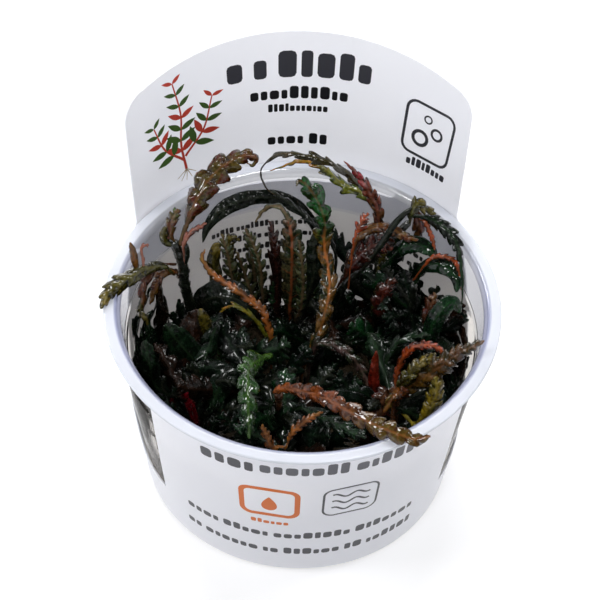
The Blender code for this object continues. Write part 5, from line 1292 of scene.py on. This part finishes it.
def subdivide(loop, longest):
    """Loop of places with extra places on its longer sides."""
    result = []
    for start, end in zip(loop, loop[1:] + loop[:1]):
        pieces = max(1, math.ceil(math.hypot(end[0] - start[0], end[1] - start[1]) / longest))
        for step in range(pieces):
            share = step / pieces
            result.append((start[0] + (end[0] - start[0]) * share, start[1] + (end[1] - start[1]) * share))
    return result


def inside(loop, places):
    """Which of the places lie inside a closed loop."""
    found = np.zeros(len(places), bool)
    for (x1, y1), (x2, y2) in zip(loop, loop[1:] + loop[:1]):
        crosses = (y1 > places[:, 1]) != (y2 > places[:, 1])
        if y1 != y2:
            found ^= crosses & (places[:, 0] < (x2 - x1) * (places[:, 1] - y1) / (y2 - y1) + x1)
    return found


class Sketch:
    """Printed marks, drawn in millimetres round a spot and kept as flat loops of angle and height."""

    def __init__(self):
        self.marks = []

    def add(self, side, colour, spot, loops):
        """Add loops in one colour on the outer or the inner face."""
        middle, height = spot
        across = math.degrees(1.0 / sheet_radius(middle, height))
        if side == "inner":
            across = -across
        flat = []
        for loop in loops:
            angles = [middle + x * across for x, _ in loop]
            flat.append([(angle + 360.0 if angle < SEAM_ANGLE else angle, height + y)
                         for angle, (_, y) in zip(angles, loop)])
        self.marks.append((side, colour, flat))

    def row(self, side, colour, spot, width, height, words):
        """Row of plain blocks that stands for a line of print, with words of the given lengths."""
        letters = sum(words)
        pattern = [LETTER_WIDTHS[number % len(LETTER_WIDTHS)] for number in range(letters)]
        spaces = LETTER_GAP * (letters - len(words)) + WORD_GAP * (len(words) - 1)
        letter_unit = width / (sum(pattern) + spaces * GAP_SHARE)
        x = -width / 2
        number = 0
        for word in words:
            for _ in range(word):
                block = pattern[number] * letter_unit
                tall = height * LETTER_HEIGHTS[(number * 3 + word) % len(LETTER_HEIGHTS)]
                loop = rounded_box(x + block / 2, tall / 2 - height / 2, block, tall, 0.28 * block, 2)
                self.add(side, colour, spot, [loop])
                x += block + LETTER_GAP * GAP_SHARE * letter_unit
                number += 1
            x += (WORD_GAP - LETTER_GAP) * GAP_SHARE * letter_unit


def rounded_box(x, y, width, height, rounding, steps):
    """Loop round a box with rounded corners, about its middle."""
    rounding = min(rounding, width / 2 - 0.001, height / 2 - 0.001)
    loop = []
    for corner, (right, top) in enumerate(((1, 1), (-1, 1), (-1, -1), (1, -1))):
        for step in range(steps + 1):
            turn = math.pi / 2 * (corner + step / steps)
            loop.append((x + right * (width / 2 - rounding) + rounding * math.cos(turn),
                         y + top * (height / 2 - rounding) + rounding * math.sin(turn)))
    return loop


def sign_frame(width, height, line, inner_rounding):
    """Loops of a sign's frame with rounded corners and a line of a given thickness."""
    return [rounded_box(0, 0, width, height, SIGN_ROUNDING, 5),
            rounded_box(0, 0, width - 2 * line, height - 2 * line, inner_rounding, 5)]


def round_loop(x, y, radius, steps=18):
    """Loop round a circle."""
    turns = [2 * math.pi * step / steps for step in range(steps)]
    return [(x + radius * math.cos(turn), y + radius * math.sin(turn)) for turn in turns]


def ribbon(line, width, tip_width):
    """Loop round a line of places, from a width at its start to another at its tip."""
    places = np.array(line, float)
    way = unit(np.gradient(places, axis=0))
    side = np.stack((-way[:, 1], way[:, 0]), axis=1)
    sizes = np.linspace(width, tip_width, len(places))[:, None] / 2
    return [tuple(place) for place in np.concatenate((places + side * sizes, (places - side * sizes)[::-1]))]


def oval_leaf(x, y, length, width, turn):
    """Loop round a pointed oval leaf that grows from a place at an angle in radians."""
    loop = []
    for hand, shares in ((1, np.linspace(0, 1, 9)), (-1, np.linspace(1, 0, 9)[1:-1])):
        for share in shares:
            ahead = share * length
            aside = hand * width / 2 * math.sin(math.pi * share ** 0.8)
            loop.append((x + ahead * math.cos(turn) - aside * math.sin(turn),
                         y + ahead * math.sin(turn) + aside * math.cos(turn)))
    return loop


def draw_front(sketch):
    """Print on the front panel: a headline, two framed signs with a small row, and two lines."""
    sketch.row("outer", GREY, (-25.8, 51.7), 14.0, 6.0, (4,))
    sketch.row("outer", PALE_GREY, (11.0, 52.0), 43.5, 5.2, (7, 6))
    sketch.add("outer", ORANGE, DROP_SIGN, sign_frame(15.5, 14.0, 1.4, 1.8))
    drop = [(2.6 * math.sin(turn) * math.sin(turn / 2), 3.3 * math.cos(turn) - 0.4)
            for turn in np.linspace(0, 2 * math.pi, 25)[:-1]]
    sketch.add("outer", ORANGE, DROP_SIGN, [drop])
    sketch.row("outer", ORANGE, (-12.6, 24.8), 9.5, 2.0, (6,))
    sketch.add("outer", GREY, WAVE_SIGN, sign_frame(14.5, 13.5, 0.6, 2.4))
    for level in (-3.2, 0.0, 3.2):
        wave = [(x, level + 0.8 * math.sin(x * 1.15)) for x in np.linspace(-4.8, 4.8, 25)]
        sketch.add("outer", GREY, WAVE_SIGN, [ribbon(wave, 0.7, 0.7)])
    sketch.row("outer", GREY, (-2.0, 18.6), 62.0, 3.1, (4, 5, 8, 7))
    sketch.row("outer", GREY, (-2.0, 10.4), 62.0, 3.1, (2, 6, 2, 6, 2, 6))


def draw_plant(sketch, spot):
    """Generic water plant: curved stems with paired smooth oval leaves in green and red."""
    for number, stem in enumerate(DRAWN_STEMS):
        places = smooth_points(np.array(stem, float), np.linspace(0, 1, 17))
        sketch.add("inner", RED, spot, [ribbon(places, 0.8, 0.35)])
        way = unit(np.gradient(places, axis=0))
        for pair, at in enumerate(range(4, 17, 2 if number == 0 else 3)):
            lean = math.atan2(way[at][1], way[at][0])
            size = 6.4 - 3.2 * at / 16
            for hand in (1, -1):
                loop = oval_leaf(places[at][0], places[at][1], size, size * 0.36, lean + hand * 1.0)
                sketch.add("inner", GREEN if (pair + number) % 3 else RED, spot, [loop])
    for turn in (-2.6, -2.1, -1.6, -1.1, -0.6):
        root = [(0, 0), (1.6 * math.cos(turn), 1.6 * math.sin(turn)),
                (3.4 * math.cos(turn * 1.05), 3.4 * math.sin(turn))]
        sketch.add("inner", ROOT, spot, [ribbon(root, 0.3, 0.15)])


def draw_tag(sketch):
    """Print on the tag: headline and rows in the middle, a plant at the left and a sign at the right."""
    sketch.row("inner", GREY, (179.0, 87.6), 38.0, 8.0, (1, 1, 5))
    sketch.row("inner", BLACK, (178.8, 79.0), 25.5, 3.8, (10,))
    sketch.row("inner", BLACK, (179.0, 74.4), 15.5, 2.4, (11,))
    sketch.row("inner", BLACK, (179.0, 64.8), 15.5, 3.3, (4, 2))
    draw_plant(sketch, (213.0, 63.0))
    sketch.add("inner", GREY, RING_SIGN, sign_frame(15.0, 16.5, 0.8, 2.2))
    for x, y, radius in ((-2.2, -2.6, 2.6), (2.4, 0.6, 1.9), (-0.8, 3.8, 1.3)):
        sketch.add("inner", GREY, RING_SIGN, [round_loop(x, y, radius), round_loop(x, y, radius * 0.62)])
    sketch.row("inner", GREY, (139.8, 65.6), 12.0, 2.6, (8,))


def draw_small_print(sketch):
    """Rows of small print on the sheet's inner face, in a left and a right block, seen through the cup."""
    for middle, width, rows in SMALL_PRINT_BLOCKS:
        for number, words in enumerate(rows):
            spot = (middle, SMALL_PRINT_TOP - SMALL_PRINT_PITCH * number)
            sketch.row("inner", GREY, spot, width, 2.0, words)


def cut_sheet(outline, slot, marks):
    """Corners and triangles of the flat sheet, cut along its outline, its slot and the marks."""
    places = []
    edges = []
    for loop in [outline, subdivide(slot, SHEET_STEP)] + [loop for _, _, loops in marks for loop in loops]:
        first = len(places)
        places += loop
        edges += [(first + number, first + (number + 1) % len(loop)) for number in range(len(loop))]
    grid = []
    angle = SEAM_ANGLE + SHEET_STEP / 2
    while angle < 360.0 + SEAM_ANGLE - 1.0:
        height = SHEET_FOOT + 1.5
        while height < TAG_TOP:
            grid.append((angle, height))
            height += SHEET_GRID
        angle += SHEET_STEP
    grid = np.array(grid)
    places += [tuple(place) for place in grid[inside(outline, grid) & ~inside(slot, grid)]]
    corners, _, triangles, *_ = delaunay_2d_cdt([Vector(place) for place in places], edges, [], 0, 0.0001)
    corners = np.array([tuple(corner) for corner in corners])
    triangles = np.array(triangles)
    centres = corners[triangles].mean(axis=1)
    triangles = triangles[inside(outline, centres) & ~inside(slot, centres)]
    first, second, third = (corners[triangles[:, number]] for number in range(3))
    area = ((second[:, 0] - first[:, 0]) * (third[:, 1] - first[:, 1])
            - (third[:, 0] - first[:, 0]) * (second[:, 1] - first[:, 1]))
    return corners, np.where((area > 0)[:, None], triangles, triangles[:, ::-1])


def print_finishes(marks, centres):
    """Number of the print's finish on each triangle of the outer and of the inner face."""
    finishes = {side: np.full(len(centres), WHITE) for side in ("outer", "inner")}
    for side, colour, loops in marks:
        places = np.concatenate(loops)
        low, high = places.min(axis=0), places.max(axis=0)
        near = np.where(((centres >= low) & (centres <= high)).all(axis=1))[0]
        covered = np.zeros(len(near), bool)
        for loop in loops:
            covered ^= inside(loop, centres[near])
        finishes[side][near[covered]] = colour
    return [finishes["outer"], finishes["inner"]]


def make_sheet():
    """Die-cut printed sheet with its marks cut into one flat mesh, in place of its solid."""
    sketch = Sketch()
    draw_front(sketch)
    draw_tag(sketch)
    draw_small_print(sketch)
    corners, triangles = cut_sheet(subdivide(sheet_outline(), SHEET_STEP), slot_outline(), sketch.marks)
    count = len(corners)
    points = [bend_sheet(*corner, depth) for depth in (0.0, SHEET_THICKNESS) for corner in corners]
    sides = {}
    for triangle in triangles.tolist():
        for side in zip(triangle, triangle[1:] + triangle[:1]):
            sides[side] = True
    walls = [(start, start + count, end + count, end) for start, end in sides if (end, start) not in sides]
    mesh = bpy.data.meshes.new("printed_sleeve_sheet")
    mesh.from_pydata(points, [], triangles.tolist() + (triangles[:, ::-1] + count).tolist() + walls)
    mesh.validate()
    for name, colour, spread, glow in PRINT_FINISHES:
        mesh.materials.append(print_material(name, colour, spread, glow))
    finishes = print_finishes(sketch.marks, corners[triangles].mean(axis=1)) + [np.full(len(walls), WHITE)]
    mesh.polygons.foreach_set("material_index", np.concatenate(finishes).astype(np.int32))
    mesh.shade_smooth()
    mesh.set_sharp_from_angle(angle=math.radians(40))
    finish_object(mesh, "printed_sleeve")


def main():
    """Build the scene round the loaded model."""
    make_camera()
    make_studio()
    make_floor()
    make_cup()
    make_gel()
    make_sheet()
    for number, plant in enumerate(PLANTLETS):
        make_plantlet(plant, number)
    for number, blade in enumerate(LEAVES):
        make_leaf(blade, number)


main()
